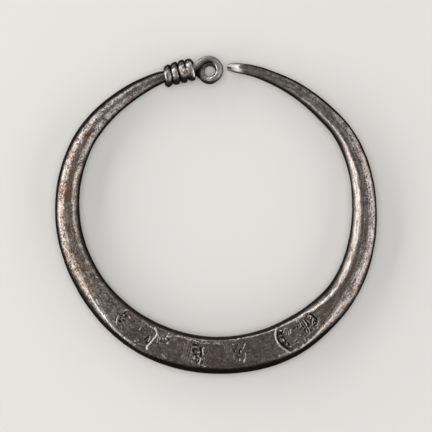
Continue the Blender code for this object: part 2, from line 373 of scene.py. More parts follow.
def fading(low, high, value):
    """Return 1 below low and 0 above high, with a soft fall between."""
    return 1 - step_between(low, high, value)


def around(middle, fade, value):
    """Return a soft rise that starts and ends at the fade's distances from the middle."""
    return step_between(middle + fade[0], middle + fade[1], value)


def graded(stops, turns):
    """Return values that run straight from stop to stop, each (turn, value)."""
    return np.interp(turns, [stop[0] for stop in stops], [stop[1] for stop in stops])


def per_ring(stops, turns):
    """Return graded values as a column, one for each ring."""
    return graded(stops, turns)[:, None]


def outward(turns):
    """Return unit vectors from the hoop's centre towards the turns."""
    angles = np.radians(turns)
    return np.stack([np.sin(angles), -np.cos(angles), np.zeros_like(angles)], -1)


def flat_length(turns):
    """Return how far round the hoop the turns are, in millimetres along its middle."""
    return np.radians(turns) * MIDDLE_RADIUS


def ripples(points, size, seed):
    """Return soft random values from -1 to 1 whose waves are about size across."""
    offset = Vector([seed * share for share in SEED_SPREAD])
    flat = points.reshape(-1, 3) / size
    values = [noise.noise(Vector(point) + offset) for point in flat]
    return np.array(values).reshape(points.shape[:-1])


def layered(points, rows):
    """Return the sum of ripples, each row a height, a size and a seed."""
    return sum(height * ripples(points, size, seed) for height, size, seed in rows)


def hollows(points, depth, low, high, size, seed):
    """Return hollows of a depth, which show where ripples rise from low to high."""
    return -depth * step_between(low, high, ripples(points, size, seed))


def lengths_along(section):
    """Return the length from a section's start to each of its points."""
    steps = np.linalg.norm(np.diff(section, axis=1), axis=-1)
    return np.concatenate([np.zeros((len(section), 1)), np.cumsum(steps, 1)], 1)


def flow_of(along, section):
    """Return places on the skin as (along, around, 0) in metres, for marks that run along it."""
    return np.stack([along, lengths_along(section), np.zeros_like(along)], -1) * MM


def outward_normals(section):
    """Return the unit vectors that point out of each section's line."""
    along = np.roll(section, -1, 1) - np.roll(section, 1, 1)
    normals = np.stack([along[..., 1], -along[..., 0]], -1)
    return normals / np.maximum(np.linalg.norm(normals, axis=-1, keepdims=True), TINY)


def in_space(origin, across, up, section):
    """Return the places of sections' points, given where each section is and how it stands."""
    return origin[:, None] + across[:, None] * section[..., :1] + up[:, None] * section[..., 1:]


def tilt_of(across, up, section):
    """Return how far the skin leans from level, in degrees."""
    normals = outward_normals(section)
    facing = across[:, None, 2] * normals[..., 0] + up[:, None, 2] * normals[..., 1]
    return np.degrees(np.arccos(np.clip(facing, -1, 1)))


def upright_shade_kept(tilt):
    """Return the share of the sides' painted shade that is kept, least where they stand upright."""
    return 1 - UPRIGHT_SHADE_LIFT * step_between(*UPRIGHT_TILTS, tilt)


# ------------------------------------------------------------------ the bar's shape


def flank_weights(corners, count):
    """Return how far each of a flank's corners counts at each of count + 1 points up it."""
    weights = np.eye(corners)
    for _ in range(CORNER_CUTS):
        quarter = weights[:-1] * 0.75 + weights[1:] * 0.25
        three_quarters = weights[:-1] * 0.25 + weights[1:] * 0.75
        cut = np.stack([quarter, three_quarters], 1).reshape(-1, weights.shape[1])
        weights = np.concatenate([weights[:1], cut, weights[-1:]])
    length = np.linspace(0.0, 1.0, len(weights))
    wanted = np.linspace(0.0, 1.0, count + 1)
    return np.stack([np.interp(wanted, length, column) for column in weights.T], -1)


def flank(corners, side, edge, half, count):
    """Return a flank's points from the bar's side to the edge of the flat band."""
    inset, rise = corners[..., 0], corners[..., 1]
    across = side[:, None] + (edge - side)[:, None] * inset
    up = half[:, None] * rise
    weights = flank_weights(len(inset[0]), count)
    return np.stack([across @ weights.T, up @ weights.T], -1)


def band(start, end, count):
    """Return points across a band between its edges, and their shares of the way."""
    share = np.linspace(0.0, 1.0, count + 1)[None, 1:-1]
    return start[:, None] * (1 - share) + end[:, None] * share, share


def worn_round(line, on_arm):
    """Return the line with its corners worn round, and its points evened out on the arms."""
    length = lengths_along(line)
    even = np.linspace(0.0, 1.0, line.shape[1])[None] * length[:, -1:]
    wanted = length * (1 - on_arm) + even * on_arm
    line = np.stack([
        np.stack([np.interp(w, l, row[:, axis]) for w, l, row in zip(wanted, length, line)])
        for axis in (0, 1)], -1)
    for _ in range(CORNER_PASSES):
        line[:, 1:-1] = (line[:, :-2] + 2 * line[:, 1:-1] + line[:, 2:]) / 4
    return line


def bar_sections(turns):
    """Return the centre radii at the turns, and the sections round those centres."""
    inner, flat_from, flat_to, outer, thickness, roundness = (
        smooth_between(STATIONS, turns, column) for column in range(1, 7))
    centre = (inner + outer) / 2
    outer_side, outer_edge = outer - centre, flat_to + graded(EDGE_SHIFT, turns) - centre
    inner_side, inner_edge = inner - centre, flat_from - centre
    crown = graded(CROWN, turns)
    half = np.minimum(thickness, FRONT_THICKNESS) / 2 - crown
    flat_across, share = band(outer_edge, inner_edge, FLAT_FACES)
    flat_up = half[:, None] + crown[:, None] * (1 - (2 * share - 1) ** 2)
    base_across, share = band(inner_edge, outer_edge, BASE_FACES)
    base_up = np.broadcast_to(-half[:, None], base_across.shape)
    rounder = step_between(*ARM_ROUNDED, np.abs(turns))[:, None, None]
    outer_corners = np.array(BEVEL_CORNERS) * (1 - rounder) + np.array(ROUND_CORNERS) * rounder
    inner_corners = np.broadcast_to(np.array(INNER_CORNERS), outer_corners.shape)
    lower_inner = flank(inner_corners, inner_side, inner_edge, half, LOWER_FACES)[:, 1:] * (1, -1)
    lower_outer = flank(outer_corners, outer_side, outer_edge, half, LOWER_FACES)[:, :0:-1] * (1, -1)
    upper = np.concatenate([
        flank(outer_corners, outer_side, outer_edge, half, OUTER_FACES),
        np.stack([flat_across, flat_up], -1),
        flank(inner_corners, inner_side, inner_edge, half, INNER_FACES)[:, ::-1],
    ], 1)
    upper = worn_round(upper, step_between(*ARM_EVENED, np.abs(turns))[:, None])
    base = np.stack([base_across, base_up], -1)
    section = np.concatenate([upper, lower_inner, base, lower_outer], 1)
    size = np.stack([(outer - inner) / 2, half], -1)[:, None, :]
    angle = np.arctan2(section[..., 1] / size[..., 1], section[..., 0] / size[..., 0])
    oval = np.stack([np.cos(angle), np.sin(angle)], -1) * size
    share = np.clip(roundness, 0.0, 1.0)[:, None, None]
    return centre, section * (1 - share) + oval * share


def flat_edges(turns):
    """Return the radii of the flat band's outer and inner edges."""
    outer = smooth_between(STATIONS, turns, 4) + graded(EDGE_SHIFT, turns)
    return outer, smooth_between(STATIONS, turns, 2)


def bar_turns():
    """Return the turns of the bar's rings, from the bend of the hook to the stem."""
    turns = [RING_SPACES[0][0]]
    for start, end, space in RING_SPACES:
        count = round(math.radians(start - end) * MIDDLE_RADIUS / space)
        turns.extend(start + (end - start) * (step + 1) / count for step in range(count))
    return np.array(turns)


def hook_frames(centre_radius):
    """Return the hook's rings as (centre, across, up, scale, turn), from its tip to the bar."""
    half = STATIONS[-1][5] / 2
    last_turn = RING_SPACES[0][0]
    run = drop = 0.0
    frames = []
    for step in range(1, HOOK_RINGS + 1):
        bend = math.radians(float(graded(HOOK_BENDS, step / HOOK_RINGS)))
        run += math.cos(bend) * HOOK_LENGTH / HOOK_RINGS
        drop += math.sin(bend) * HOOK_LENGTH / HOOK_RINGS
        turn = last_turn + math.degrees(run / centre_radius)
        across = outward(turn)
        onward = np.array([-across[1], across[0], 0.0])
        up = LEVEL * math.cos(bend) + onward * math.sin(bend)
        ahead = onward * math.cos(bend) - LEVEL * math.sin(bend)
        centre = across * centre_radius + LEVEL * (MID_HEIGHT - drop)
        scale = 1 - HOOK_TAPER * (step / HOOK_RINGS) ** 2
        frames.append((centre, across, up, scale, turn))
    for dome in range(1, DOME_RINGS + 1):
        angle = math.pi / 2 * dome / DOME_RINGS
        place = centre + ahead * half * scale * HOOK_BLUNTNESS * math.sin(angle)
        frames.append((place, across, up, scale * max(math.cos(angle), TIP_SCALE), turn))
    return frames[::-1]


# ------------------------------------------------------------------ the stamps and wear

# Lines and dots that stand up from the front: width, height, then places as (turn, radius).
# The higher one stands, the more it shines.
RAISED = (
    # first stamp: a thin crescent, dots, and a broad bent ridge at its end
    (0.36, 0.22, ((-42.3, 34.6), (-43.2, 34.05), (-43.8, 33.5), (-44.05, 32.9))),
    (0.30, 0.12, ((-44.0, 31.1), (-43.6, 30.8), (-43.2, 30.5))),
    (0.50, 0.22, ((-40.7, 31.35), (-40.0, 31.45))),
    (0.26, 0.10, ((-40.4, 34.2), (-39.8, 34.6))),
    (0.26, 0.08, ((-37.9, 32.6), (-37.0, 32.9), (-36.4, 32.7))),
    (0.30, 0.10, ((-33.8, 32.4), (-33.7, 31.9))),
    (0.34, 0.22, ((-32.8, 35.1),)),
    (0.46, 0.08, ((-31.8, 34.6),)),
    (0.54, 0.34, ((-27.3, 35.3), (-27.7, 34.75), (-27.4, 34.1), (-27.1, 33.3), (-26.8, 32.5),
                  (-26.45, 31.8), (-26.4, 31.2), (-27.0, 30.7), (-27.8, 30.35), (-28.4, 30.15))),
    (0.36, 0.20, ((-26.1, 31.3), (-25.7, 31.5))),
    (0.24, 0.10, ((-28.6, 30.15), (-30.2, 30.35), (-31.8, 30.55))),
    (0.28, 0.16, ((-28.3, 33.6), (-28.2, 32.9), (-28.6, 32.45))),
    (0.26, 0.12, ((-24.8, 33.0), (-25.1, 32.4), (-25.3, 31.7))),
    (0.26, 0.10, ((-24.3, 32.3), (-24.5, 31.7))),
    (0.46, 0.20, ((-23.3, 31.5),)),
    (0.42, 0.20, ((-22.3, 31.3), (-22.0, 31.4))),
    (0.30, 0.16, ((-20.9, 32.2), (-20.6, 31.8))),
    (0.54, 0.28, ((-21.8, 30.6),)),
    (0.36, 0.18, ((-20.9, 30.5), (-20.2, 30.15))),
    (0.26, 0.08, ((-24.2, 32.7), (-23.2, 32.8))),
    (0.36, 0.12, ((-21.2, 35.0), (-20.3, 35.3), (-19.4, 35.5))),
    # second stamp: bars, hooks, loops and broken lines
    (0.32, 0.13, ((-10.1, 31.4), (-8.8, 31.3), (-7.7, 31.35))),
    (0.36, 0.18, ((-9.0, 30.4),)),
    (0.30, 0.10, ((-8.0, 30.15), (-6.4, 30.25), (-4.8, 30.2))),
    (0.40, 0.18, ((-7.3, 33.3),)),
    (0.42, 0.22, ((-7.55, 32.5), (-6.8, 32.3))),
    (0.34, 0.14, ((-7.6, 34.4), (-7.2, 34.1))),
    (0.28, 0.12, ((-8.9, 34.4), (-8.9, 33.9), (-8.7, 33.4))),
    (0.24, 0.10, ((-9.6, 34.2), (-9.4, 33.7))),
    (0.42, 0.20, ((-6.7, 35.0), (-6.4, 34.4), (-6.2, 33.8))),
    (0.36, 0.22, ((-5.35, 32.9), (-5.6, 32.3), (-5.75, 31.5), (-5.4, 31.25))),
    (0.26, 0.12, ((-5.6, 34.0), (-4.9, 33.6), (-4.6, 33.9))),
    (0.24, 0.10, ((-5.9, 35.1), (-5.4, 35.4), (-4.9, 35.1), (-4.5, 35.6), (-3.7, 35.4))),
    (0.24, 0.10, ((-4.9, 34.8), (-4.2, 34.9))),
    (0.26, 0.10, ((-5.1, 31.9), (-4.7, 31.7), (-4.4, 31.9))),
    (0.36, 0.13, ((10.6, 35.0), (11.3, 34.3), (11.7, 33.7), (11.8, 33.0))),
    (0.34, 0.12, ((11.2, 32.1), (11.8, 31.5), (12.5, 30.9))),
    (0.36, 0.10, ((9.1, 34.5), (9.3, 34.1))),
    (0.24, 0.08, ((7.0, 34.1), (7.1, 33.3), (7.2, 32.7))),
    (0.46, 0.08, ((7.3, 30.65),)),
    (0.36, 0.10, ((9.8, 30.6),)),
    (0.30, 0.10, ((10.3, 32.4), (9.8, 32.65))),
    (0.26, 0.08, ((10.0, 31.5), (10.3, 31.3))),
    (0.24, 0.08, ((10.7, 31.6), (10.5, 31.0), (10.9, 30.8))),
    (0.24, 0.06, ((7.9, 32.3), (8.1, 31.6), (9.0, 30.9))),
    # third stamp: a broad crescent with a row of dots, slanted strokes, arcs and a fan
    (0.52, 0.30, ((27.6, 36.1), (27.0, 35.4), (26.3, 34.6), (25.8, 33.7), (25.6, 32.7), (25.75, 31.8),
                  (26.4, 31.0), (27.1, 30.4), (27.8, 30.05))),
    (0.50, 0.28, ((29.3, 35.35),)),
    (0.50, 0.31, ((28.5, 34.4),)),
    (0.40, 0.22, ((28.1, 33.4), (28.1, 33.1))),
    (0.34, 0.12, ((27.2, 32.9),)),
    (0.40, 0.20, ((28.1, 32.05),)),
    (0.60, 0.32, ((29.0, 31.0),)),
    (0.36, 0.24, ((31.7, 32.8), (32.2, 32.4), (32.8, 31.9))),
    (0.28, 0.12, ((30.9, 32.9), (31.7, 32.1))),
    (0.28, 0.16, ((29.6, 31.65), (30.2, 31.35), (31.2, 31.0))),
    (0.24, 0.10, ((30.2, 32.4), (31.0, 31.9), (31.8, 31.3))),
    (0.24, 0.10, ((29.4, 32.2), (30.4, 31.75))),
    (0.24, 0.08, ((30.9, 34.9), (31.8, 34.7), (32.8, 34.6))),
    (0.30, 0.10, ((34.6, 34.3), (34.9, 34.2))),
    (0.30, 0.20, ((38.3, 35.2), (38.7, 34.7), (38.95, 34.2), (39.0, 33.8))),
    (0.26, 0.16, ((37.4, 34.7), (38.0, 34.2))),
    (0.36, 0.24, ((39.1, 33.45), (39.4, 33.0), (39.5, 32.4), (39.5, 31.9))),
    (0.26, 0.12, ((40.6, 35.3), (40.5, 34.8))),
    (0.24, 0.12, ((39.6, 34.5), (40.2, 34.1))),
    (0.26, 0.16, ((40.9, 34.2), (41.6, 33.7), (42.5, 33.3))),
    (0.30, 0.18, ((41.6, 34.75), (42.4, 34.95), (43.3, 34.65), (44.0, 34.25))),
    (0.34, 0.16, ((42.2, 34.15),)),
    (0.40, 0.16, ((42.7, 33.2),)),
    (0.30, 0.16, ((40.7, 33.2), (40.65, 32.6))),
    (0.30, 0.20, ((42.1, 32.75), (42.9, 32.4))),
    (0.28, 0.18, ((41.8, 32.1), (43.0, 32.15))),
    (0.28, 0.18, ((36.6, 32.9), (37.3, 32.5), (37.6, 31.8))),
    (0.26, 0.12, ((36.1, 32.75), (36.8, 32.1))),
    (0.24, 0.10, ((38.3, 33.2), (38.2, 32.5), (38.5, 31.9))),
    (0.24, 0.10, ((37.4, 31.5), (37.9, 31.1))),
    (0.24, 0.10, ((36.6, 31.5), (37.2, 30.95))),
    (0.28, 0.14, ((35.2, 36.1), (35.6, 35.65))),
    (0.28, 0.14, ((36.2, 36.5), (36.7, 35.95))),
    (0.24, 0.10, ((41.6, 35.5), (42.3, 35.4))),
)

# Lines and dots sunk into the front, in the same way; dirt lies in them
SUNK = (
    (0.74, 0.20, ((-42.6, 33.5), (-42.1, 33.6))),
    (0.44, 0.16, ((-41.7, 32.75), (-41.1, 32.8))),
    (0.38, 0.14, ((-43.3, 31.3), (-42.9, 31.1))),
    (0.38, 0.14, ((-41.6, 31.6), (-41.5, 32.1))),
    (0.38, 0.12, ((-43.0, 33.0), (-42.8, 32.7))),
    (0.40, 0.12, ((-43.8, 32.6), (-43.5, 32.5))),
    (0.38, 0.10, ((-42.8, 30.75),)),
    (0.48, 0.12, ((-37.5, 31.3),)),
    (0.54, 0.14, ((-36.2, 31.25),)),
    (0.42, 0.10, ((-34.5, 31.75),)),
    (0.48, 0.16, ((-29.8, 33.7), (-29.5, 33.1), (-28.9, 32.35))),
    (0.48, 0.18, ((-28.8, 34.1), (-28.7, 33.8))),
    (0.40, 0.12, ((-25.4, 33.2),)),
    (0.44, 0.16, ((-24.4, 32.95),)),
    (0.50, 0.20, ((-22.85, 30.8),)),
    (0.50, 0.12, ((-23.6, 32.2),)),
    (0.50, 0.12, ((-22.2, 32.1),)),
    (0.40, 0.12, ((-21.5, 31.1), (-20.6, 31.3))),
    (0.44, 0.14, ((-19.7, 35.15),)),
    (0.44, 0.17, ((-10.1, 30.85), (-9.1, 30.75), (-8.1, 30.9))),
    (0.58, 0.22, ((-6.2, 33.2), (-6.3, 32.6), (-6.6, 31.9), (-6.9, 31.4))),
    (0.62, 0.14, ((-9.9, 32.2), (-9.4, 32.5))),
    (0.50, 0.14, ((-9.0, 33.1), (-8.2, 33.0))),
    (0.40, 0.14, ((-9.6, 34.0), (-9.1, 34.4))),
    (0.38, 0.14, ((-7.9, 34.3), (-7.6, 34.8))),
    (0.38, 0.14, ((-5.7, 34.3), (-5.3, 34.7))),
    (0.48, 0.10, ((-9.4, 31.9), (-8.3, 31.75))),
    (0.40, 0.16, ((-10.4, 34.3),)),
    (0.44, 0.12, ((-8.1, 33.6),)),
    (0.40, 0.14, ((-6.0, 35.75), (-5.6, 35.6))),
    (0.40, 0.13, ((7.0, 31.6), (7.1, 32.1))),
    (0.38, 0.11, ((10.4, 30.6), (10.7, 30.9))),
    (0.44, 0.12, ((7.6, 32.2), (8.2, 31.5), (9.0, 31.0), (9.9, 30.35))),
    (0.40, 0.13, ((8.4, 33.3), (8.9, 33.9))),
    (0.36, 0.09, ((8.0, 31.0), (8.7, 30.6))),
    (0.50, 0.20, ((9.5, 32.9), (9.5, 32.4), (9.9, 32.0), (10.4, 32.0))),
    (0.40, 0.14, ((10.5, 31.6), (10.7, 31.2))),
    (0.58, 0.26, ((28.0, 35.3), (27.4, 34.6), (26.95, 34.0), (26.5, 33.45))),
    (0.46, 0.22, ((26.4, 33.0), (26.4, 32.3))),
    (0.46, 0.20, ((26.7, 31.75), (27.3, 31.0))),
    (0.48, 0.18, ((28.0, 31.55), (28.6, 31.65), (29.1, 31.45))),
    (0.40, 0.12, ((29.1, 34.9), (29.2, 34.3))),
    (0.40, 0.12, ((28.7, 33.7), (28.8, 33.3))),
    (0.40, 0.12, ((27.7, 32.45), (28.7, 32.5))),
    (0.40, 0.12, ((27.5, 34.0), (27.6, 33.6))),
    (0.40, 0.10, ((32.2, 35.1), (32.4, 34.9))),
    (0.44, 0.10, ((34.0, 32.1), (34.8, 32.2))),
    (0.40, 0.14, ((35.5, 36.0), (36.0, 35.75))),
    (0.44, 0.12, ((35.9, 32.4), (36.0, 32.2))),
    (0.40, 0.12, ((37.1, 32.6), (37.2, 32.1))),
    (0.38, 0.12, ((37.9, 33.2), (37.9, 32.5))),
    (0.40, 0.14, ((37.2, 34.5), (37.7, 33.8))),
    (0.38, 0.12, ((38.2, 34.8), (38.5, 34.2))),
    (0.44, 0.16, ((39.9, 33.7), (40.05, 33.0), (39.95, 32.2))),
    (0.38, 0.12, ((40.9, 33.7), (41.7, 33.3), (42.4, 32.9))),
    (0.44, 0.18, ((41.3, 31.85),)),
    (0.40, 0.12, ((41.6, 31.4), (42.5, 31.4))),
    (0.48, 0.18, ((41.3, 34.5), (41.9, 34.5), (42.6, 34.6))),
    (0.40, 0.16, ((41.8, 33.9), (42.5, 33.75), (43.0, 34.0))),
    (0.54, 0.27, ((43.3, 34.3), (43.75, 33.7), (43.65, 33.0), (43.6, 32.3), (43.2, 31.85))),
    (0.44, 0.12, ((44.6, 35.5), (45.2, 35.4))),
)
# From which height a mark is fully bright or dark, how much of a line's width its slope
# takes, how far from a line its reach is looked for, and the steps of its curves
FULL_MARK = 0.17
STROKE_SLOPE = 0.36
NEAR_MARGIN = 0.1
CURVE_STEPS = 6

# Sunk rings with a dot in them: turn, radius, the ring's own radius, its line's width
RING_DOTS = (
    (-42.6, 31.95, 0.46, 0.34),
    (-4.6, 32.15, 0.32, 0.24),
)
RING_DEPTH = 0.16
RING_POINTS = 19

# Rows of close upright cuts: from turn, to turn, pitch, from radius, to radius, height
CUT_ROWS = (
    (-16.6, -14.4, 0.55, 31.3, 33.2, 0.03),
    (-13.8, -10.6, 0.72, 30.9, 34.4, 0.07),
    (3.2, 6.3, 0.65, 30.5, 32.3, 0.04),
)
CUT_WIDTH, CUT_BOW, CUT_LEAN = 0.24, 0.3, -0.1
# How unevenly they were struck, in spacing, bow, foot and head, each as (reach, pace)
CUT_SWAYS = ((0.25, 5.1), (0.3, 1.7), (0.4, 2.3), (0.4, 3.1))

# The shallow fields that the stamps pressed: width, depth, and the line down the middle
FIELDS = (
    (4.3, 0.10, ((-41.6, 32.6), (-36.0, 33.1), (-30.2, 32.9))),
    (4.0, 0.06, ((-15.4, 32.6), (-6.0, 32.8))),
    (4.0, 0.06, ((4.4, 32.4), (10.4, 32.7))),
    (4.4, 0.12, ((29.0, 33.0), (35.0, 33.5), (41.6, 33.2))),
)
FIELD_EDGE = 0.5

# Where a stamp has worn to a ripple: width, depth, places
RIPPLED = (
    (4.6, 0.5, ((-15.5, 32.4), (-11.5, 32.6))),
    (4.8, 1.0, ((-10.4, 32.4), (-5.2, 33.4))),
    (1.2, 0.8, ((-22.0, 30.1), (-10.0, 29.9), (9.0, 29.9))),
    (4.2, 0.7, ((3.0, 31.9), (7.0, 32.1), (11.5, 32.8))),
    (3.0, 0.6, ((-30.0, 33.0), (-27.5, 33.4))),
    (3.0, 0.6, ((-25.0, 32.2), (-21.0, 31.4))),
    (4.2, 0.8, ((29.0, 32.6), (32.5, 32.4))),
    (4.4, 0.9, ((36.5, 33.3), (43.0, 33.4))),
    (3.6, 0.5, ((-43.2, 33.2), (-39.0, 32.6))),
)
RIPPLE_HEIGHT = 0.09

# Where a stamp's edges have broken into crumbs: width, share, places
CRUMBLED = (
    (2.4, 0.7, ((-10.0, 34.1), (-5.4, 34.7))),
    (1.3, 0.8, ((-21.0, 29.9), (-9.0, 29.8), (3.0, 30.0))),
    (2.4, 0.6, ((-25.0, 31.2), (-19.0, 30.3))),
    (1.6, 0.4, ((-28.6, 34.8), (-26.4, 35.2))),
)

# Where the stamps bit deep and dirt has gathered: width, share, places
DIRTY = (
    (3.2, 0.8, ((-42.9, 33.4), (-42.0, 32.2))),
    (1.9, 0.8, ((-29.2, 33.9), (-28.9, 32.9))),
    (2.2, 0.6, ((-24.6, 32.3), (-22.2, 31.5))),
    (3.2, 0.9, ((-8.8, 31.3), (-7.2, 32.6), (-6.8, 34.2))),
    (2.6, 0.6, ((8.0, 32.8), (10.6, 33.4))),
    (2.2, 1.0, ((28.8, 35.6), (27.9, 34.4), (27.7, 32.8), (28.2, 31.3))),
    (3.6, 0.8, ((37.4, 33.8), (42.3, 33.7))),
)
ZONE_EDGE = 0.9

# The dark worn oval behind the hook's bend
WORN_OVAL = ((1.15, 1.0, ((165.4, 35.5), (167.4, 35.3), (169.7, 35.1))),)
OVAL_EDGE = 0.26

# Burrs along the edges of the flat band: width, height, places
BURRS = (
    (0.62, 0.20, ((-60.0, 34.75), (-52.0, 35.1), (-46.0, 35.45), (-42.0, 35.75), (-38.0, 35.85),
                  (-34.0, 35.8), (-32.2, 35.75))),
    (0.40, 0.08, ((-35.0, 30.15), (-29.0, 30.35))),
    (0.38, 0.20, ((-22.0, 29.95), (-18.0, 29.85), (-15.5, 29.9))),
    (0.36, 0.19, ((-14.8, 29.65), (-12.6, 29.9), (-11.4, 29.75))),
    (0.34, 0.14, ((-10.4, 29.85), (-8.0, 30.0), (-6.2, 29.85))),
    (0.30, 0.10, ((-4.6, 30.1), (-2.8, 30.15))),
    (0.32, 0.12, ((-1.6, 30.25), (0.4, 30.15), (1.6, 30.3))),
    (0.30, 0.07, ((6.0, 29.35), (8.0, 29.5))),
    (0.30, 0.07, ((9.6, 29.4), (12.6, 29.5), (15.0, 29.5))),
    (0.42, 0.23, ((24.0, 36.1), (27.4, 36.3), (30.0, 36.5), (32.5, 36.5))),
    (0.60, 0.08, ((32.5, 36.8), (34.0, 36.65), (40.0, 36.35), (44.0, 36.2), (48.0, 36.0), (54.0, 35.6))),
    (0.42, 0.20, ((30.3, 30.2), (34.0, 30.35), (38.0, 30.65), (42.0, 31.0), (44.0, 31.4))),
    (0.90, 0.20, ((44.0, 31.4), (46.0, 31.7), (50.0, 32.2), (56.0, 32.8))),
    (0.34, 0.12, ((30.6, 36.6), (32.0, 36.9), (33.8, 36.4))),
)

# Where burrs and worn lines have broken away: the pattern, and between which of its
# values, then how much shine and height is left of a burr there, and shine of a mark
BREAKS, BREAKS_AT = ((1.0, 0.75, 83.0), (0.5, 0.35, 13.0)), (-0.3, 0.2)
BROKEN_SHINE, BROKEN_HEIGHT, LEAST_SHINE = 0.3, 0.4, 0.7

# The worn stamps' ripples, and how uneven the dirt in them is
WORN_COARSE, WORN_FINE, WORN_FINE_SHARE = (0.5, 71.0), (0.27, 37.0), 0.4
WORN_SQUEEZE = (1.0, 0.6, 1.0)
SOOT_PATTERN, SOOT_SWING, LEAST_SOOT = (0.3, 17.0), 0.5, 0.6

# The forged skin: waves as rows of height, size and seed, then the dents of the arms and
# the pits of the front, each a depth, the values between which it shows, size and seed,
# how much a dent counts as a low spot, and how often heights are evened out to find those
BAR_WAVES = ((0.030, 6.0, 3.0), (0.018, 2.6, 11.0))
DENTS, PITS = (0.06, 0.1, 0.6, 3.4, 29.0), (0.025, 0.30, 0.55, 0.55, 47.0)
DENT_SHARE, BAR_SOFTENING = 0.3, 16

# The patterns of crumbs, of dirt in the arms' groove and of copper's blushes, with the
# range of values that shows, how even the dirt is, and a blush's shape.  The groove's
# pattern is laid out along the skin, in metres.
CRUMB_PATTERN, CRUMBS_AT = (0.36, 91.0), (0.05, 0.3)
GROOVE_PATTERN, GROOVE_EVEN, GROOVE_SWING = (0.9 * MM, 37.0), 0.6, 0.8
BLUSH_PATTERN, BLUSH_FLATNESS, BLUSH_RAGGEDNESS = (1.1, 55.0), 0.5, 0.6

# From which share of its height a section's point counts as its upper side
UPPER_SHARES = (0.3, 0.9)

# Between which tilts from level the flanks' bare metal starts, and the flat's bare metal
# and the groove's dirt end, and how far from its limit the bare metal and its painted highlight fade and the
# painted shade on steep sides begins
FLANK_TILTS, FLAT_TILTS, GROOVE_TILTS = (4, 20), (16, 28), (6, 18)
BARE_FADE, SIDE_SHADE_FADE = (-8, 10), (-9, 13)

# At which height and depth spots are brightest and dirtiest, how much so, and how far
# the stamps change that; then dirt in the fields, shine on the hook, and the worn oval's
# dirt and its rim's
HIGH_FULL, HIGH_SHINE, WORKED_DULLER = 0.12, 0.4, 0.6
LOW_FULL, LOW_DIRT, WORKED_DIRTIER = 0.08, 0.2, 0.6
FIELD_DIRT, HOOK_SHINE, OVAL_DIRT, RIM_DIRT = 0.3, 0.45, 0.15, 0.5


def flowing(places, steps=CURVE_STEPS):
    """Return the places with a smooth curve's points between them, in flat millimetres."""
    if len(places) < 3:
        found = np.array(places, float)
    else:
        rows = [(index, *place) for index, place in enumerate(places)]
        at = np.linspace(0, len(places) - 1, (len(places) - 1) * steps + 1)
        found = np.stack([smooth_between(rows, at, 1), smooth_between(rows, at, 2)], -1)
    return np.stack([flat_length(found[:, 0]), found[:, 1]], -1)


def distance_to(x, y, line):
    """Return each point's distance to a line through the places, in millimetres."""
    nearest = np.full(x.shape, np.inf)
    ends = list(zip(line, line[1:])) or [(line[0], line[0])]
    for (x0, y0), (x1, y1) in ends:
        run, rise = x1 - x0, y1 - y0
        length = max(run * run + rise * rise, TINY)
        share = np.clip(((x - x0) * run + (y - y0) * rise) / length, 0.0, 1.0)
        nearest = np.minimum(nearest, np.hypot(x - x0 - share * run, y - y0 - share * rise))
    return nearest


def near(x, y, line, reach):
    """Return which points lie near enough to a line to be changed by it."""
    low, high = line.min(0) - reach, line.max(0) + reach
    return (x > low[0]) & (x < high[0]) & (y > low[1]) & (y < high[1])


def zones(rows, turns, radii, edge=ZONE_EDGE):
    """Return each point's share in the zones, which are rows of width, share and places."""
    x = flat_length(turns)
    found = np.zeros_like(x)
    for width, share, places in rows:
        inside = width / 2 - distance_to(x, radii, flowing(places))
        found = np.maximum(found, share * step_between(0.0, edge, inside))
    return found


def cut_line(step, start, pitch, low, high):
    """Return the places of one of a row's cuts, which are a little uneven."""
    spacing, bow, foot, head = (reach * math.sin(step * pace) for reach, pace in CUT_SWAYS)
    turn = start + (step + spacing) * pitch
    middle = (turn + CUT_BOW + bow, (low + high) / 2)
    return (turn, low + foot), middle, (turn + CUT_LEAN, high + head)


def stamp_marks(turns, radii, broken):
    """Return the stamps' and burrs' height over the plain bar, their shine and their dirt."""
    x, y = flat_length(turns), radii
    relief, shine, soot = np.zeros_like(x), np.zeros_like(x), np.zeros_like(x)

    def press(line, width, height, edge=None):
        edge = width * STROKE_SLOPE if edge is None else edge
        chosen = near(x, y, line, width / 2 + NEAR_MARGIN)
        inside = width / 2 - distance_to(x[chosen], y[chosen], line)
        cover = step_between(0.0, edge, inside)
        relief[chosen] += height * cover
        return chosen, cover * min(abs(height) / FULL_MARK, 1.0)

    def raise_line(line, width, height, whole=None):
        chosen, cover = press(line, width, height)
        if whole is not None:
            cover = cover * (BROKEN_SHINE + (1 - BROKEN_SHINE) * whole[chosen])
            relief[chosen] *= BROKEN_HEIGHT + (1 - BROKEN_HEIGHT) * whole[chosen]
        shine[chosen] = np.maximum(shine[chosen], cover)
        soot[chosen] *= 1 - cover

    def sink_line(line, width, depth):
        chosen, cover = press(line, width, -depth)
        soot[chosen] = np.maximum(soot[chosen], cover)

    for width, depth, places in FIELDS:
        press(flowing(places), width, -depth, FIELD_EDGE)
    for start, end, pitch, low, high, height in CUT_ROWS:
        for step in range(int((end - start) / pitch) + 1):
            raise_line(flowing(cut_line(step, start, pitch, low, high)), CUT_WIDTH, height)
    for width, depth, places in SUNK:
        sink_line(flowing(places), width, depth)
    for turn, radius, size, width in RING_DOTS:
        centre = flowing(((turn, radius),))
        angles = np.linspace(0.0, 2 * math.pi, RING_POINTS)
        ring = centre + size * np.stack([np.cos(angles), np.sin(angles)], -1)
        sink_line(ring, width, RING_DEPTH)
        raise_line(centre, width, RING_DEPTH / 2)
    for width, height, places in RAISED:
        raise_line(flowing(places), width, height)
    for width, height, places in BURRS:
        raise_line(flowing(places), width, height, broken)
    return relief, shine, soot


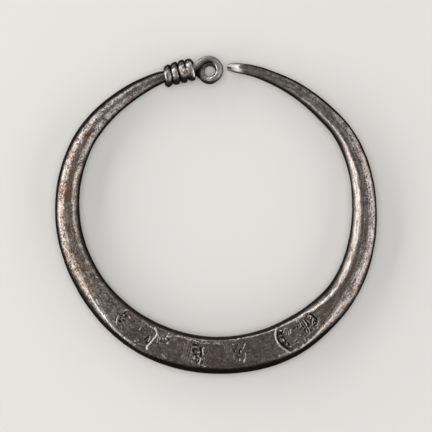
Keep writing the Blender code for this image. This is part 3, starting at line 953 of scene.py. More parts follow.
def blush_of(turns, radii, rough_edge):
    """Return how strongly copper blushes through, from 0 to 1."""
    blush = np.zeros_like(radii)
    for turn, radius, reach, share in BLUSHES:
        along = flat_length(turns - turn) * BLUSH_FLATNESS
        distance = np.hypot(along, radii - radius) + BLUSH_RAGGEDNESS * rough_edge
        blush = np.maximum(blush, share * fading(0.0, reach, distance))
    return blush


def softened(values, passes):
    """Return values on the rings and points evened out with their neighbours."""
    for _ in range(passes):
        across = (np.roll(values, 1, 1) + np.roll(values, -1, 1)) / 2
        values = (values + across) / 2
        along = values.copy()
        along[1:-1] = (values[:-2] + values[2:]) / 2
        values = (values + along) / 2
    return values


def edge_shine(turns, radii, plain):
    """Return the worn lines and the bright crumbs along the flat band's edges."""
    outer_from, inner_from = (np.abs(radii - edge[:, None]) for edge in flat_edges(turns))
    line = np.maximum(
        per_ring(OUTER_LINE, turns) * fading(0.0, LINE_REACH, outer_from),
        per_ring(INNER_LINE, turns) * fading(0.0, LINE_REACH, inner_from))
    crumbs = per_ring(CRUMBS, turns) * fading(0.0, CRUMB_REACH, outer_from)
    crumbs = np.maximum(crumbs, zones(CRUMBLED, turns[:, None], radii))
    return line, crumbs * step_between(*CRUMBS_AT, ripples(plain, *CRUMB_PATTERN))


def bare_sheen_and_side_shade(turns, section, tilt):
    """Return how much bare metal the bar's tilt leaves, partly as a painted highlight on the flanks, and the
    painted shade on its steep sides.
    """
    outside = section[..., 0] > 0
    reach = np.where(outside, per_ring(OUTER_TILT, turns), per_ring(INNER_TILT, turns))
    flank_bare_and_sheen = np.where(outside, per_ring(OUTER_BARE_AND_SHEEN, turns), per_ring(INNER_BARE_AND_SHEEN, turns))
    flank_bare_and_sheen = flank_bare_and_sheen * step_between(*FLANK_TILTS, tilt) * (1 - around(reach, BARE_FADE, tilt))
    flat_bare = per_ring(FLAT_BARE, turns) * fading(*FLAT_TILTS, tilt)
    return np.maximum(flat_bare, flank_bare_and_sheen), around(reach, SIDE_SHADE_FADE, tilt) * upright_shade_kept(tilt)


def bar_frames():
    """Return the bar's rings from the hook's tip to the stem.

    They are the places, the ways across and up, the scales, the turns, the centre radii
    and the sections.
    """
    turns = bar_turns()
    centre, section = bar_sections(turns)
    hook = hook_frames(float(centre[0]))
    bar = [(out * radius + LEVEL * MID_HEIGHT, out, LEVEL, 1.0, turn)
           for out, radius, turn in zip(outward(turns), centre, turns)]
    frames = [np.array(column) for column in zip(*hook, *bar)]
    centre = np.append(np.full(len(hook), centre[0]), centre)
    return *frames, centre, np.concatenate([np.repeat(section[:1], len(hook), 0), section])


def bar_rings():
    """Return the bar's plain points, ring by ring, its finished points, its looks and its flow."""
    origin, across, up, scale, turns, centre, section = bar_frames()

    def placed(sections):
        return in_space(origin, across, up, sections * scale[:, None, None])

    plain = placed(section)
    radii = centre[:, None] + section[..., 0]
    turn_grid = np.broadcast_to(turns[:, None], radii.shape)
    height_share = section[..., 1] / np.abs(section[..., 1]).max(1)[:, None]
    upper = step_between(*UPPER_SHARES, height_share)
    on_arm = step_between(*ARM_DENTED, np.abs(turn_grid))
    broken = step_between(*BREAKS_AT, layered(plain, BREAKS))

    # the stamps, worn to ripples where they are old, then waves, dents and pits
    dirty, worn_field = (zones(rows, turn_grid, radii) * upper for rows in (DIRTY, RIPPLED))
    worked = np.maximum(dirty, worn_field)
    stamped, shine, soot = (mark * upper for mark in stamp_marks(turn_grid, radii, broken))
    shine = shine * (LEAST_SHINE + (1 - LEAST_SHINE) * broken)
    soot = soot * np.clip(1 + SOOT_SWING * ripples(plain, *SOOT_PATTERN), LEAST_SOOT, 1)
    worn_pattern = ripples(plain * WORN_SQUEEZE, *WORN_COARSE) + WORN_FINE_SHARE * ripples(plain, *WORN_FINE)
    pressed = stamped + worked * RIPPLE_HEIGHT * worn_pattern
    dents, pits = hollows(plain, *DENTS) * on_arm, hollows(plain, *PITS) * (1 - on_arm)
    relief = pressed + layered(plain, BAR_WAVES) + dents + pits
    hook_count = HOOK_RINGS + DOME_RINGS
    relief[:hook_count] = relief[hook_count]
    points = placed(section + outward_normals(section) * relief[..., None])
    proud = pressed + pits + dents * DENT_SHARE
    proud = proud - softened(proud, BAR_SOFTENING)

    # what is worn bright at the flat's edges and the hook's end
    line, crumbs = edge_shine(turns, radii, plain)
    line, crumbs = line * broken * upper, crumbs * upper
    oval = zones(WORN_OVAL, turn_grid, radii, OVAL_EDGE) * upper
    rim = 4 * oval * (1 - oval)
    worn_hook = step_between(*HOOK_WORN, turn_grid) * (1 - oval)

    # bare metal, partly a painted highlight, and painted shade on steep sides, both by tilt; then dirt in
    # the arms' groove and in low spots
    flow = flow_of(flat_length(turn_grid), section)
    tilt = tilt_of(across, up, section)
    bare, side_shade = bare_sheen_and_side_shade(turns, section, tilt)
    groove = per_ring(GROOVE_DIRT, turns) * fading(*GROOVE_TILTS, tilt)
    groove = groove * (GROOVE_EVEN + GROOVE_SWING * ripples(flow, *GROOVE_PATTERN)) * upper
    inner_side = (section[..., 0] < 0) * step_between(*ARM_SMOOTHER, turns)[:, None]
    high_spots = np.clip(proud / HIGH_FULL, 0, HIGH_SHINE) * (1 - WORKED_DULLER * worked)
    low_spots = np.clip(-proud / LOW_FULL, 0, 1) * (LOW_DIRT + WORKED_DIRTIER * worked)
    field_dirt = FIELD_DIRT * dirty * (1 - np.clip(shine, 0, 1))
    dirt = soot + low_spots + field_dirt + groove + OVAL_DIRT * oval + RIM_DIRT * rim
    looks = {
        "wear": np.clip(shine + high_spots + line + crumbs + HOOK_SHINE * worn_hook, 0, 1),
        "grime_and_shade": np.clip(dirt, 0, 1),
        # facet: rubbed bare metal, partly a painted highlight on flanks that face the side lights
        "facet": bare * (1 - oval),
        # side: painted shade on the bar's steep sides
        "side": side_shade,
        "grit": per_ring(GRIT, turns) * (1 - INNER_SMOOTHNESS * inner_side),
        "blush": blush_of(turn_grid, radii, ripples(plain, *BLUSH_PATTERN)) * upper,
        "warmth": np.broadcast_to(per_ring(WARMTH, turns), tilt.shape),
    }
    return plain, points, looks, flow


# ------------------------------------------------------------------ the wire's shape


def eye_point(degrees):
    """Return a point of the wire on the eye's descending spiral."""
    radius = float(smooth_between(EYE_SPIRAL, degrees, 1))
    angle = math.radians(degrees)
    flat = EYE_CENTRE + Vector((math.sin(angle), math.cos(angle))) * radius
    return Vector((flat.x, flat.y, float(smooth_between(EYE_HEIGHTS, degrees, 1))))


def wrap_point(degrees):
    """Return a point of the wrapping and the direction from it to the stem."""
    angle = math.radians(degrees)
    turn = WRAP_FIRST_FRONT + WRAP_PITCH_DEGREES * degrees / 360
    turn -= float(graded(WRAP_LEAN, degrees)) * math.sin(angle)
    out = Vector(outward(turn))
    away = Vector((0.0, 0.0, math.cos(angle))) - out * math.sin(angle)
    axis = out * WRAP_HOOP_RADIUS + Vector((0.0, 0.0, WRAP_HEIGHT))
    along_stem = Vector((-out.y, out.x, 0.0))
    place = axis + away * float(smooth_between(WRAP_SPIRAL, degrees, 1))
    return place, (-away - along_stem * float(graded(WRAP_TWIST, degrees))).normalized()


def wire_stops():
    """Return the wire's stops as rows of numbers.

    A row is the place and the way up, each as x, y and z, then the width, the thickness,
    the part, the painted shade on the outer and on the inner side, and how bare the top is, which is partly
    a painted highlight.
    """
    up = Vector((0.0, 0.0, 1.0))
    stem_looks = (0.0, EYE_INNER_SHADE[0][1], EYE_BARE_AND_SHEEN[0][1])
    stops = []
    for turn in np.linspace(STEM[-1][0], STEM[0][0], STEM_STOPS):
        radius, height, width, thickness = (float(smooth_between(STEM, turn, c)) for c in range(1, 5))
        place = Vector(outward(turn)) * radius + up * height
        stops.append((*place, *up, width, thickness, EYE_PART, *stem_looks))
    for degrees in range(EYE_FROM + EYE_STEP, EYE_TO + 1, EYE_STEP):
        angle = math.radians(degrees)
        lean = Vector((math.sin(angle), math.cos(angle), 0.0)) * float(graded(EYE_TWIST, degrees))
        looks = [float(graded(rows, degrees)) for rows in (EYE_OUTER_SHADE, EYE_INNER_SHADE, EYE_BARE_AND_SHEEN)]
        wide = float(graded(EYE_WIDTHS, degrees))
        leaning = (up + lean).normalized()
        stops.append((*eye_point(degrees), *leaning, wide, EYE_THICKNESS, EYE_PART, *looks))
    eye_end = eye_point(EYE_TO)
    wrap_start = wrap_point(WRAP_FROM)[0]
    heading = (eye_end - eye_point(EYE_TO - AIM_STEP)).normalized()
    arriving = (wrap_point(WRAP_FROM + AIM_STEP)[0] - wrap_start).normalized()
    reach = (wrap_start - eye_end).length * BRIDGE_REACH
    curve = interpolate_bezier(
        eye_end, eye_end + heading * reach, wrap_start - arriving * reach, wrap_start, BRIDGE_STEPS + 2)
    for place in curve[1:-1]:
        stops.append((*place, *up, WRAP_WIDTH, WRAP_THICKNESS, BRIDGE_PART, 0.0, 0.0, 0.0))
    for degrees in range(WRAP_FROM, WRAP_TO + 1, WRAP_STEP):
        place, towards_stem = wrap_point(degrees)
        bare = float(graded(WRAP_BARE_AND_SHEEN, degrees))
        stops.append((*place, *towards_stem, WRAP_WIDTH, WRAP_THICKNESS, WRAP_PART, 0.0, 0.0, bare))
    return stops


def wire_line():
    """Return the wire's evenly spaced rings, ending in a dome.

    They are the places, the ways across and up, the scales, the lengths run, and the
    rest of the stops' columns.
    """
    rows = np.array(wire_stops())
    length = np.concatenate([[0], np.cumsum(np.linalg.norm(np.diff(rows[:, :3], axis=0), axis=1))])
    count = round(length[-1] / WIRE_SPACE)
    even = np.linspace(0, length[-1], count + 1)
    rows = np.stack([np.interp(even, length, column) for column in rows.T], -1)
    for _ in range(WIRE_PASSES):
        rows[1:-1] = (rows[:-2] + 2 * rows[1:-1] + rows[2:]) / 4
    place, up = rows[:, :3], rows[:, 3:6]
    ahead = np.gradient(place, axis=0)
    ahead /= np.linalg.norm(ahead, axis=1, keepdims=True)
    across = np.cross(up, ahead)
    across /= np.linalg.norm(across, axis=1, keepdims=True)
    up = np.cross(ahead, across)
    angles = np.pi / 2 * np.arange(1, DOME_RINGS + 1) / DOME_RINGS
    dome = place[-1] + ahead[-1] * WIRE_DOME * np.sin(angles)[:, None]
    scale = np.append(np.ones(len(place)), np.maximum(np.cos(angles), TIP_SCALE))
    across, up, even, rest = (
        np.concatenate([v, np.repeat(v[-1:], DOME_RINGS, 0)]) for v in (across, up, even, rows[:, 6:]))
    return np.concatenate([place, dome]), across, up, scale, even, rest.T


def drawn_lines(run, cosine, sine, width, thickness, part):
    """Return the height of the lines and grooves that drawing left along the wire."""
    along = np.broadcast_to(run[:, None] * DRAWN_STRETCH, (len(run), WIRE_POINTS))
    drawn = np.stack([along, cosine * width * DRAWN_SPREAD, sine * thickness * DRAWN_SPREAD], -1)
    lines = layered(drawn, DRAWN_LINES)
    shallower = np.where(part > BRIDGE_PART, WRAP_GROOVE_SHARE, 1.0)
    for across_at, depth in WIRE_GROOVES:
        closeness = fading(0.0, GROOVE_REACH, np.abs(cosine - across_at))
        lines = lines - depth * shallower * closeness
    return lines


def wrapping_shade(plain, wrapped):
    """Return the painted shade on the wrapping towards the hoop's inside, and over its caps."""
    ragged = ripples(plain, *RAGGED_PATTERN)
    from_hoop = np.linalg.norm(plain[..., :2], axis=-1) + INNER_RAGGED * ragged
    past_line = plain[..., 1] - CAP_LINE_SLOPE * plain[..., 0] - CAP_LINE_FROM + CAP_RAGGED * ragged
    inwards = wrapped * fading(*INNER_SHADE_RADII, from_hoop)
    return inwards, wrapped * step_between(-CAP_EDGE, CAP_EDGE, past_line)


def wire_rings():
    """Return the wire's plain points, ring by ring, its finished points, its looks and its flow."""
    place, across, up, scale, run, rest = wire_line()
    width, thickness, part, outer_shade, inner_shade, top_bare_and_sheen = (column[:, None] for column in rest)
    angle = 2 * math.pi * np.arange(WIRE_POINTS) / WIRE_POINTS
    cosine, sine = np.cos(angle)[None], np.sin(angle)[None]
    squarer = [np.sign(side) * np.abs(side) ** WIRE_SQUARENESS for side in (cosine, sine)]
    section = np.stack([width / 2 * squarer[0], thickness / 2 * squarer[1]], -1)
    section = section * scale[:, None, None]
    plain = in_space(place, across, up, section)
    x, y = plain[..., 0], plain[..., 1]

    # drawn lines and grooves, and the wrapping's last turns run together by heat
    wrapped = step_between(*WRAPPED_PARTS, part)
    from_fused = np.hypot(x - FUSED_PLACE[0], y - FUSED_PLACE[1])
    fused = wrapped * fading(FUSED_REACH / 2, FUSED_REACH, from_fused)
    lines = drawn_lines(run, cosine, sine, width, thickness, part) * (1 - fused)
    pits = hollows(plain, *WIRE_PITS)
    run_together = fused * (FUSED_RISE + FUSED_FILL * np.abs(cosine) + layered(plain, FUSED_LUMPS))
    proud = lines + pits + run_together
    relief = (proud + layered(plain, WIRE_WAVES)) * scale[:, None]
    points = in_space(place, across, up, section + outward_normals(section) * relief[..., None])
    proud = proud - softened(proud, WIRE_SOFTENING)

    # painted shade on the wire: inside and over the wrapping, on the bridge, round the eye's coils and on
    # steep sides; and it is darker where it faces the stem or the floor
    inwards, outwards = wrapping_shade(plain, wrapped)
    from_rubbed = distance_to(x, y, RUBBED_LINE)
    rubbed = wrapped * fading(RUBBED_WIDTH / 3, RUBBED_WIDTH, from_rubbed)
    # the bridge under the stem takes painted shade
    bridge_shade = step_between(*BRIDGE_FROM, part) * fading(*BRIDGE_TO, part)
    up_normal = outward_normals(section)[..., 1]
    outer = np.where(part > BRIDGE_PART, -up_normal, up_normal)
    open_air = step_between(*OPEN_AIR, outer) * (1 - fused) + fused
    # painted shade round the eye's coils, most on their outer sides
    coil_shade = outer_shade * (COIL_TOP + COIL_OUTSIDE * step_between(*OUTER_SIDE, cosine))
    coil_shade = coil_shade + inner_shade * step_between(*INNER_SIDE, -cosine) * COIL_INSIDE
    tilt = tilt_of(across, up, section)
    low_spots = np.clip(-proud / WIRE_LOW_FULL, 0, 1) * WIRE_LOW_DIRT
    # bare metal on the wire's top and flanks, partly a painted highlight where they face the side lights
    bare = top_bare_and_sheen + FLANK_BARE_AND_SHEEN * (1 + wrapped) * step_between(*WIRE_FLANK_TILTS, tilt)
    bare = bare * fading(*WIRE_BARE_TO, tilt)
    # the wire's steep sides take painted shade, less where turns run together, plus the painted shade of the
    # coils and the wrapping
    side_shade = step_between(*WIRE_SIDE_SHADE_FROM, tilt) * (1 - FUSED_LESS_SHADE * fused)
    side_shade = np.clip(side_shade + coil_shade + inwards + CAP_SHADE * outwards, 0, 1)
    looks = {
        "wear": np.clip(proud / WIRE_HIGH_FULL + RUBBED_SHINE * rubbed, 0, 1),
        # grime: dirt in low spots, darker where the wire faces the stem or the floor, and painted shade
        # inside the wrapping and on the bridge
        "grime_and_shade": (low_spots + FACING_IN_DARKENING * (1 - open_air) + INNER_SHADE_AS_DIRT * inwards + bridge_shade) * (1 - rubbed),
        "facet": bare * (1 - CAP_SHADE * outwards) * (1 - FUSED_DULLER * fused),
        # side: the wire's painted shade
        "side": side_shade * (1 - rubbed) * upright_shade_kept(tilt),
        "grit": WIRE_GRIT + fused,
        "blush": FUSED_BLUSH * fused,
        "warmth": FUSED_WARMTH * fused,
    }
    along = np.broadcast_to(run[:, None] - WIRE_FLOW_START, x.shape)
    return plain, points, looks, flow_of(along, section)


# ------------------------------------------------------------------ modelling


def roll_up(name, points, looks, flow):
    """Return a tube with its looks painted on it, rolled up from a sheet and welded.

    The sheet has a row of points for each ring, and its two long sides meet.
    """

    def closed(rows):
        return np.concatenate([rows, rows[:, :1]], 1).ravel().astype(np.float32)

    rings, count = points.shape[:2]
    bpy.ops.object.select_all(action="DESELECT")
    bpy.ops.mesh.primitive_grid_add(x_subdivisions=count, y_subdivisions=rings - 1, size=STOCK_SIZE)
    stock = bpy.context.active_object
    stock.name = name
    stock.data.name = name
    rolled = np.concatenate([points, points[:, :1]], 1) * MM
    stock.data.vertices.foreach_set("co", rolled.ravel())
    layer = stock.data.attributes.new("flow", "FLOAT_VECTOR", "POINT")
    layer.data.foreach_set("vector", closed(flow))
    for name, values in looks.items():
        layer = stock.data.attributes.new(name, "FLOAT", "POINT")
        layer.data.foreach_set("value", closed(values))
    stock.data.update()
    bpy.ops.object.mode_set(mode="EDIT")
    bpy.ops.mesh.select_mode(type="VERT")
    bpy.ops.mesh.select_all(action="SELECT")
    bpy.ops.mesh.remove_doubles(threshold=WELD)
    bpy.ops.object.mode_set(mode="OBJECT")
    return stock


def close_end(stock, tip):
    """Draw the small ring at the tip together to a point."""
    places = np.zeros(len(stock.data.vertices) * 3)
    stock.data.vertices.foreach_get("co", places)
    reach = np.linalg.norm(places.reshape(-1, 3) - tip.mean(0) * MM, axis=1)
    bpy.ops.object.mode_set(mode="EDIT")
    bpy.ops.mesh.select_all(action="DESELECT")
    bpy.ops.object.mode_set(mode="OBJECT")
    stock.data.vertices.foreach_set("select", reach < TIP_REACH)
    bpy.ops.object.mode_set(mode="EDIT")
    bpy.ops.mesh.merge(type="CENTER")
    bpy.ops.object.mode_set(mode="OBJECT")


def forge_bracelet():
    """Shape the bar and the wire, join them inside the wrapping, and return the piece."""
    bar_plain, bar_points, bar_looks, bar_flow = bar_rings()
    wire_plain, wire_points, wire_looks, wire_flow = wire_rings()
    both = np.concatenate([bar_plain.reshape(-1, 3), wire_plain.reshape(-1, 3)])
    lowest = min(bar_points[..., 2].min(), wire_points[..., 2].min())
    low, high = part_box("bracelet")
    solid_low, solid_high = np.array(low) / MM, np.array(high) / MM
    shift = (solid_low + solid_high) / 2 - (both.min(0) + both.max(0)) / 2
    shift[2] = solid_low[2] - lowest
    bar_points, wire_points = bar_points + shift, wire_points + shift
    bar = roll_up("silver_bracelet", bar_points, bar_looks, bar_flow)
    close_end(bar, bar_points[0])
    wire = roll_up("wire", wire_points, wire_looks, wire_flow)
    close_end(wire, wire_points[-1])
    bar.select_set(True)
    bpy.context.view_layer.objects.active = bar
    bpy.ops.object.join()
    bpy.ops.object.mode_set(mode="EDIT")
    bpy.ops.mesh.select_mode(type="EDGE")
    bpy.ops.mesh.select_all(action="DESELECT")
    bpy.ops.mesh.select_non_manifold(
        extend=False, use_wire=False, use_boundary=True, use_multi_face=False,
        use_non_contiguous=False, use_verts=False)
    bpy.ops.mesh.bridge_edge_loops()
    bpy.ops.mesh.select_all(action="SELECT")
    bpy.ops.mesh.normals_make_consistent(inside=False)
    bpy.ops.object.mode_set(mode="OBJECT")
    bpy.ops.object.shade_smooth()
    bar.location = (0.0, 0.0, 0.0)
    return bar


# ------------------------------------------------------------------ finishes

# Patterns on the silver, each as size in millimetres, detail and roughness.  Forging
# scale, wear and pitting leave patches of 1 to 4 mm; the real grit and grain are under
# 0.1 mm, too fine to show, and are drawn as coarse as they need to be.
MOTTLE, BROWN_PATCHES, PALE_PATCHES = (1.2, 4.0, 0.6), (3.6, 2.0, 0.55), (2.4, 2.0, 0.55)
GRAIN, COARSE_GRAIN, SPECKS = (0.42, 3.0, 0.65), (0.26, 1.0, 0.55), (0.3, 1.0, 0.55)
# Streaks run along the skin, so their pattern is squeezed in that direction
STREAKS, STREAK_SQUEEZE = (0.5, 3.0, 0.6), (0.12, 1.0, 1.0)
# How high the finest relief stands, in millimetres
BUMP_MM = 0.16
# Between which of its values the grain goes from dark to light
GRAIN_RANGE = (0.35, 0.65)

# How grit and facets make the bare metal uneven, as (from low, from high, to low, to high),
# how strong streaks and salt-like grain are, how much bare metal and painted highlight the facets give and
# copper covers, and between which sums bare metal appears
GRIT_UNEVEN, FACET_UNEVEN = (0.3, 1.7, 0.8, 4.6), (0.0, 0.6, 0.4, 1.0)
STREAK_STRENGTH, SALT_STRENGTH = 2.0, 2.4
FACET_BARE_AND_SHEEN, BLUSH_COVERS, BARE_RANGE = 0.62, 0.22, (0.06, 0.95)

# Where brown and pale films, warm and rubbed silver, pits and dirt appear, and how deep
# the painted shade on the sides is
BROWN_SPREAD, PALE_SPREAD = (0.42, 0.6, 0.0, 0.3), (0.5, 0.68, 0.0, 0.25)
WARM_RANGE, RUBBED_RANGE, DIRT_RANGE = (0.0, 0.6), (0.2, 0.7), (0.0, 0.7)
PIT_SPREAD, PIT_PATCHES, SIDE_SHADE_DARKNESS = (0.60, 0.74, 0.0, 0.35), (0.60, 0.44), 0.95

# How metallic dirt is, how rough facets and grain are and what sides and dirt add to it,
# and how pits and streaks stand in the grain's relief
DIRT_METALLIC = (0.0, 1.0, 1.0, 0.35)
FACET_ROUGHNESS, GRAIN_ROUGHNESS = (0.1, 1.0, 0.45, 0.27), (-0.06, 0.08)
SIDE_ROUGHER, DIRT_ROUGHER = 0.35, 0.2
PIT_RELIEF, STREAK_RELIEF = -0.5, 0.8

# Darker and lighter tarnish, films over it, silver from tarnished to rubbed, both where
# copper blushes through, then the blackish colour of pits and of painted shade, the dirt, which on the wire
# also carries painted shade, the edges' tint and the board
COOL_TARNISH, WARM_TARNISH = ("#6E6763", "#8B857F"), ("#695D54", "#93887D")
BROWN_FILM, PALE_FILM = "#5F5146", "#A89C92"
GREY_SILVER, WARM_SILVER, RUBBED_SILVER = "#E5E1DD", "#E3D4CA", "#EAE5DF"
COPPERY_TARNISH, COPPERY_SILVER = "#6E5446", "#D4B29F"
PIT_AND_SHADE_BLACK, DIRT_AND_SHADE_BROWN, EDGE_TINT = "#211D1A", "#261D16", "#72706E"
PALE_BOARD = "#E6E3DF"

# The kinds of node that are used often, and where a colour Mix node has its factor, its
# two colours and its result
MATH, RANGE, MIX = "ShaderNodeMath", "ShaderNodeMapRange", "ShaderNodeMix"
MIX_SHARE, MIX_UNDER, MIX_OVER, MIX_RESULT = 0, 6, 7, 2


def from_hex(code):
    """Return an sRGB hex colour as linear RGBA."""
    parts = [int(code[index:index + 2], 16) / 255 for index in (1, 3, 5)]
    linear = [p / 12.92 if p <= 0.04045 else ((p + 0.055) / 1.055) ** 2.4 for p in parts]
    return (*linear, 1.0)


def add_node(tree, kind, inputs=(), output=0, **settings):
    """Add a node with its settings and inputs, and return one of its outputs.

    An input is a value, or the output of another node to link.  The inputs are given in
    their order, or by their names or places.
    """
    node = tree.nodes.new(kind)
    for name, value in settings.items():
        setattr(node, name, value)
    named = inputs if isinstance(inputs, dict) else dict(enumerate(inputs))
    for name, value in named.items():
        if isinstance(value, bpy.types.NodeSocket):
            tree.links.new(value, node.inputs[name])
        else:
            node.inputs[name].default_value = value
    return node.outputs[output]


def new_material(name):
    """Return a new material, its node tree and its shader."""
    material = bpy.data.materials.new(name)
    material.use_nodes = True
    tree = material.node_tree
    return material, tree, tree.nodes["Principled BSDF"]


def tarnished_silver():
    """Old coin silver, forged, polished by wear and tarnished.

    The eye sees warm grey-brown sulphide on the flat front, bright rubbed metal on the
    facets and ridges, which on the flanks that face the side lights is partly a painted highlight, steep
    sides deepened nearly to blackness by painted shade, brown dirt in the stamps and pits, which on the wire
    also carries painted shade, and a fine grain that breaks up every highlight.
    """
    material, tree, shader = new_material("tarnished_silver")
    add = partial(add_node, tree)
    wear, grime_and_shade, facet, side, grit, blush, warmth = (
        add("ShaderNodeAttribute", output="Fac", attribute_name=name)
        for name in ("wear", "grime_and_shade", "facet", "side", "grit", "blush", "warmth"))
    place = add("ShaderNodeTexCoord", output="Object")
    flow = add("ShaderNodeAttribute", output="Vector", attribute_name="flow")
    drawn_out = add("ShaderNodeMapping", {"Vector": flow, "Scale": STREAK_SQUEEZE})
    mottle, brown, pale, grain, coarse, speck, streak = (
        add("ShaderNodeTexNoise", {
            "Vector": where, "Scale": 1 / (size * MM), "Detail": detail, "Roughness": roughness})
        for where, (size, detail, roughness) in (
            (place, MOTTLE), (place, BROWN_PATCHES), (place, PALE_PATCHES), (place, GRAIN),
            (place, COARSE_GRAIN), (place, SPECKS), (drawn_out, STREAKS)))
    grain_share = add(RANGE, (grain, *GRAIN_RANGE))

    # bare metal shows on facets and ridges, broken up by blotches, streaks and grain; on the flanks it is
    # partly a painted highlight
    blotched, streaked, grained, coarsened = (
        add(MATH, (pattern, 0.5), operation="SUBTRACT") for pattern in (mottle, streak, grain, coarse))
    blotched = add(MATH, (blotched, add(RANGE, (grit, *GRIT_UNEVEN))), operation="MULTIPLY")
    streaked = add(MATH, (streaked, STREAK_STRENGTH), operation="MULTIPLY")
    salt = add(MATH, (grained, coarsened), operation="ADD")
    salt = add(MATH, (salt, SALT_STRENGTH), operation="MULTIPLY")
    salt = add(MATH, (salt, grit), operation="MULTIPLY")
    uneven = add(MATH, (blotched, streaked), operation="ADD")
    uneven = add(MATH, (uneven, salt), operation="ADD")
    uneven = add(MATH, (uneven, add(RANGE, (facet, *FACET_UNEVEN))), operation="MULTIPLY")
    bare = add(MATH, (facet, FACET_BARE_AND_SHEEN), operation="MULTIPLY")
    bare = add(MATH, (bare, wear), operation="ADD")
    covered = add(MATH, (blush, BLUSH_COVERS), operation="MULTIPLY")
    bare = add(MATH, (bare, covered), operation="SUBTRACT")
    bare = add(MATH, (bare, uneven), operation="ADD")
    bare = add(RANGE, (bare, *BARE_RANGE))

    # pits are blackish where the skin is gritty, steep sides take the same colour as painted shade, and
    # dirt, which on the wire also carries painted shade, lies over all
    pitted = add(MATH, (add(RANGE, (speck, *PIT_SPREAD)), grit), operation="MULTIPLY")
    pitted = add(MATH, (pitted, add(RANGE, (mottle, *PIT_PATCHES))), operation="MULTIPLY")
    pits_and_shade = add(MATH, (side, SIDE_SHADE_DARKNESS), operation="MULTIPLY")
    pits_and_shade = add(MATH, (pits_and_shade, pitted), operation="ADD", use_clamp=True)
    # the grime attribute is dirt, and on the wire painted shade as well
    dirt = add(RANGE, (grime_and_shade, *DIRT_RANGE))

    # sulphide tarnish, cooler and warmer by the grain
    tarnish, warm_tarnish = (
        add(MIX, {
            MIX_SHARE: grain_share, MIX_UNDER: from_hex(darker), MIX_OVER: from_hex(lighter),
        }, MIX_RESULT, data_type="RGBA")
        for darker, lighter in (COOL_TARNISH, WARM_TARNISH))
    # films over the tarnish, then the silver from tarnished to rubbed, with copper from
    # the alloy that blushes through both, then silver, the blackish colour of pits and painted shade, and
    # dirt over the tarnish
    films = (
        (warmth, warm_tarnish),
        (add(RANGE, (brown, *BROWN_SPREAD)), from_hex(BROWN_FILM)),
        (add(RANGE, (pale, *PALE_SPREAD)), from_hex(PALE_FILM)),
        (blush, from_hex(COPPERY_TARNISH)),
    )
    rubbing = (
        (add(RANGE, (warmth, *WARM_RANGE)), from_hex(WARM_SILVER)),
        (add(RANGE, (wear, *RUBBED_RANGE)), from_hex(RUBBED_SILVER)),
        (blush, from_hex(COPPERY_SILVER)),
    )
    silver = from_hex(GREY_SILVER)
    for share, film in films:
        tarnish = add(
            MIX, {MIX_SHARE: share, MIX_UNDER: tarnish, MIX_OVER: film}, MIX_RESULT, data_type="RGBA")
    for share, rubbed in rubbing:
        silver = add(
            MIX, {MIX_SHARE: share, MIX_UNDER: silver, MIX_OVER: rubbed}, MIX_RESULT, data_type="RGBA")
    colour = tarnish
    for share, over in ((bare, silver), (pits_and_shade, from_hex(PIT_AND_SHADE_BLACK)), (dirt, from_hex(DIRT_AND_SHADE_BROWN))):
        colour = add(
            MIX, {MIX_SHARE: share, MIX_UNDER: colour, MIX_OVER: over}, MIX_RESULT, data_type="RGBA")

    # dirt is rough and only a third metal, sides are rougher, and the skin stands up where
    # it is grainy or streaked and sinks where it is pitted
    rough = add(MATH, (
        add(RANGE, (facet, *FACET_ROUGHNESS)), add(RANGE, (grain, *GRAIN_RANGE, *GRAIN_ROUGHNESS)),
    ), operation="ADD")
    height = grain
    for share, amount in ((side, SIDE_ROUGHER), (dirt, DIRT_ROUGHER)):
        rougher = add(MATH, (share, amount), operation="MULTIPLY")
        rough = add(MATH, (rough, rougher), operation="ADD")
    for pattern, depth in ((pitted, PIT_RELIEF), (streak, STREAK_RELIEF)):
        relief = add(MATH, (pattern, depth), operation="MULTIPLY")
        height = add(MATH, (height, relief), operation="ADD")
    height = add(MATH, (height, grit), operation="MULTIPLY")
    tree.links.new(colour, shader.inputs["Base Color"])
    tree.links.new(add(RANGE, (dirt, *DIRT_METALLIC)), shader.inputs["Metallic"])
    tree.links.new(rough, shader.inputs["Roughness"])
    tree.links.new(
        add("ShaderNodeBump", {"Strength": 1.0, "Distance": BUMP_MM * MM, "Height": height}),
        shader.inputs["Normal"])
    shader.inputs["Specular Tint"].default_value = from_hex(EDGE_TINT)
    return material


def pale_floor():
    """A matt pale board, plain and soft, so that only the silver shines."""
    material, _, shader = new_material("pale_board")
    shader.inputs["Base Color"].default_value = from_hex(PALE_BOARD)
    shader.inputs["Roughness"].default_value = 0.9
    shader.inputs["Specular IOR Level"].default_value = 0.2
    return material


# ------------------------------------------------------------------ the studio

FLOOR_SIZE = 6.0

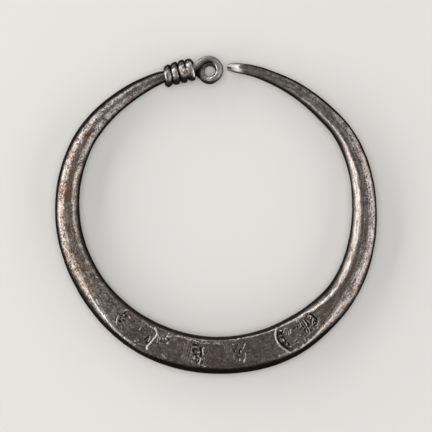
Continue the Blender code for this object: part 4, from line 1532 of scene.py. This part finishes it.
# The lights: name, place, width, height, brightness, and whether gloss mirrors it
SOFTBOXES = (
    ("left_softbox", (-0.54, 0.12, 0.22), 1.9, 0.34, 3.0, True),
    ("right_softbox", (0.54, -0.14, 0.22), 1.3, 0.34, 1.7, True),
    ("far_softbox", (0.0, 0.58, 0.3), 0.9, 0.3, 0.4, True),
    ("top_softbox", (0.0, 0.0, 1.1), 1.5, 1.5, 0.22, True),
    ("floor_fill", (0.0, 0.0, 1.3), 1.0, 1.0, 2.6, False),
)
ROOM_GLOW = (0.06, 0.06, 0.061, 1.0)

# A long lens straight above, and the width of what it sees
FRAME_WIDTH = 101.2 * MM
LENS = 300.0
SENSOR = 36.0
LOOK_AT = (0.0, -0.25 * MM)


def lay_floor():
    """Lay the board that the bracelet lies on."""
    bpy.ops.object.select_all(action="DESELECT")
    bpy.ops.mesh.primitive_plane_add(size=FLOOR_SIZE)
    floor = bpy.context.active_object
    floor.name = "floor"
    floor.data.materials.append(pale_floor())


def add_softbox(name, place, width, height, brightness, in_gloss):
    """Hang a soft light that faces the bracelet; brightness is its surface's own."""
    data = bpy.data.lights.new(name, "AREA")
    data.shape = "RECTANGLE"
    data.size = width
    data.size_y = height
    data.energy = brightness * math.pi * width * height
    lamp = bpy.data.objects.new(name, data)
    bpy.context.scene.collection.objects.link(lamp)
    lamp.location = place
    lamp.rotation_euler = (-Vector(place)).to_track_quat("-Z", "Y").to_euler()
    lamp.visible_camera = False
    lamp.visible_glossy = in_gloss


def light_studio():
    """Light it softly and low from both sides, and dimly from behind and above."""
    for row in SOFTBOXES:
        add_softbox(*row)
    world = bpy.data.worlds.new("dim_room")
    world.use_nodes = True
    world.node_tree.nodes["Background"].inputs["Color"].default_value = ROOM_GLOW
    bpy.context.scene.world = world
    bpy.context.scene.view_settings.view_transform = "Standard"


def set_camera():
    """Look straight down on the bracelet through a long lens."""
    data = bpy.data.cameras.new("camera")
    data.lens = LENS
    data.sensor_width = SENSOR
    camera = bpy.data.objects.new("camera", data)
    bpy.context.scene.collection.objects.link(camera)
    camera.location = (LOOK_AT[0], LOOK_AT[1], MID_HEIGHT * MM + FRAME_WIDTH * LENS / SENSOR)
    bpy.context.scene.camera = camera


bracelet = forge_bracelet()
bracelet.data.materials.append(tarnished_silver())
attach(bracelet, "root")
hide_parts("bracelet")
lay_floor()
light_studio()
set_camera()
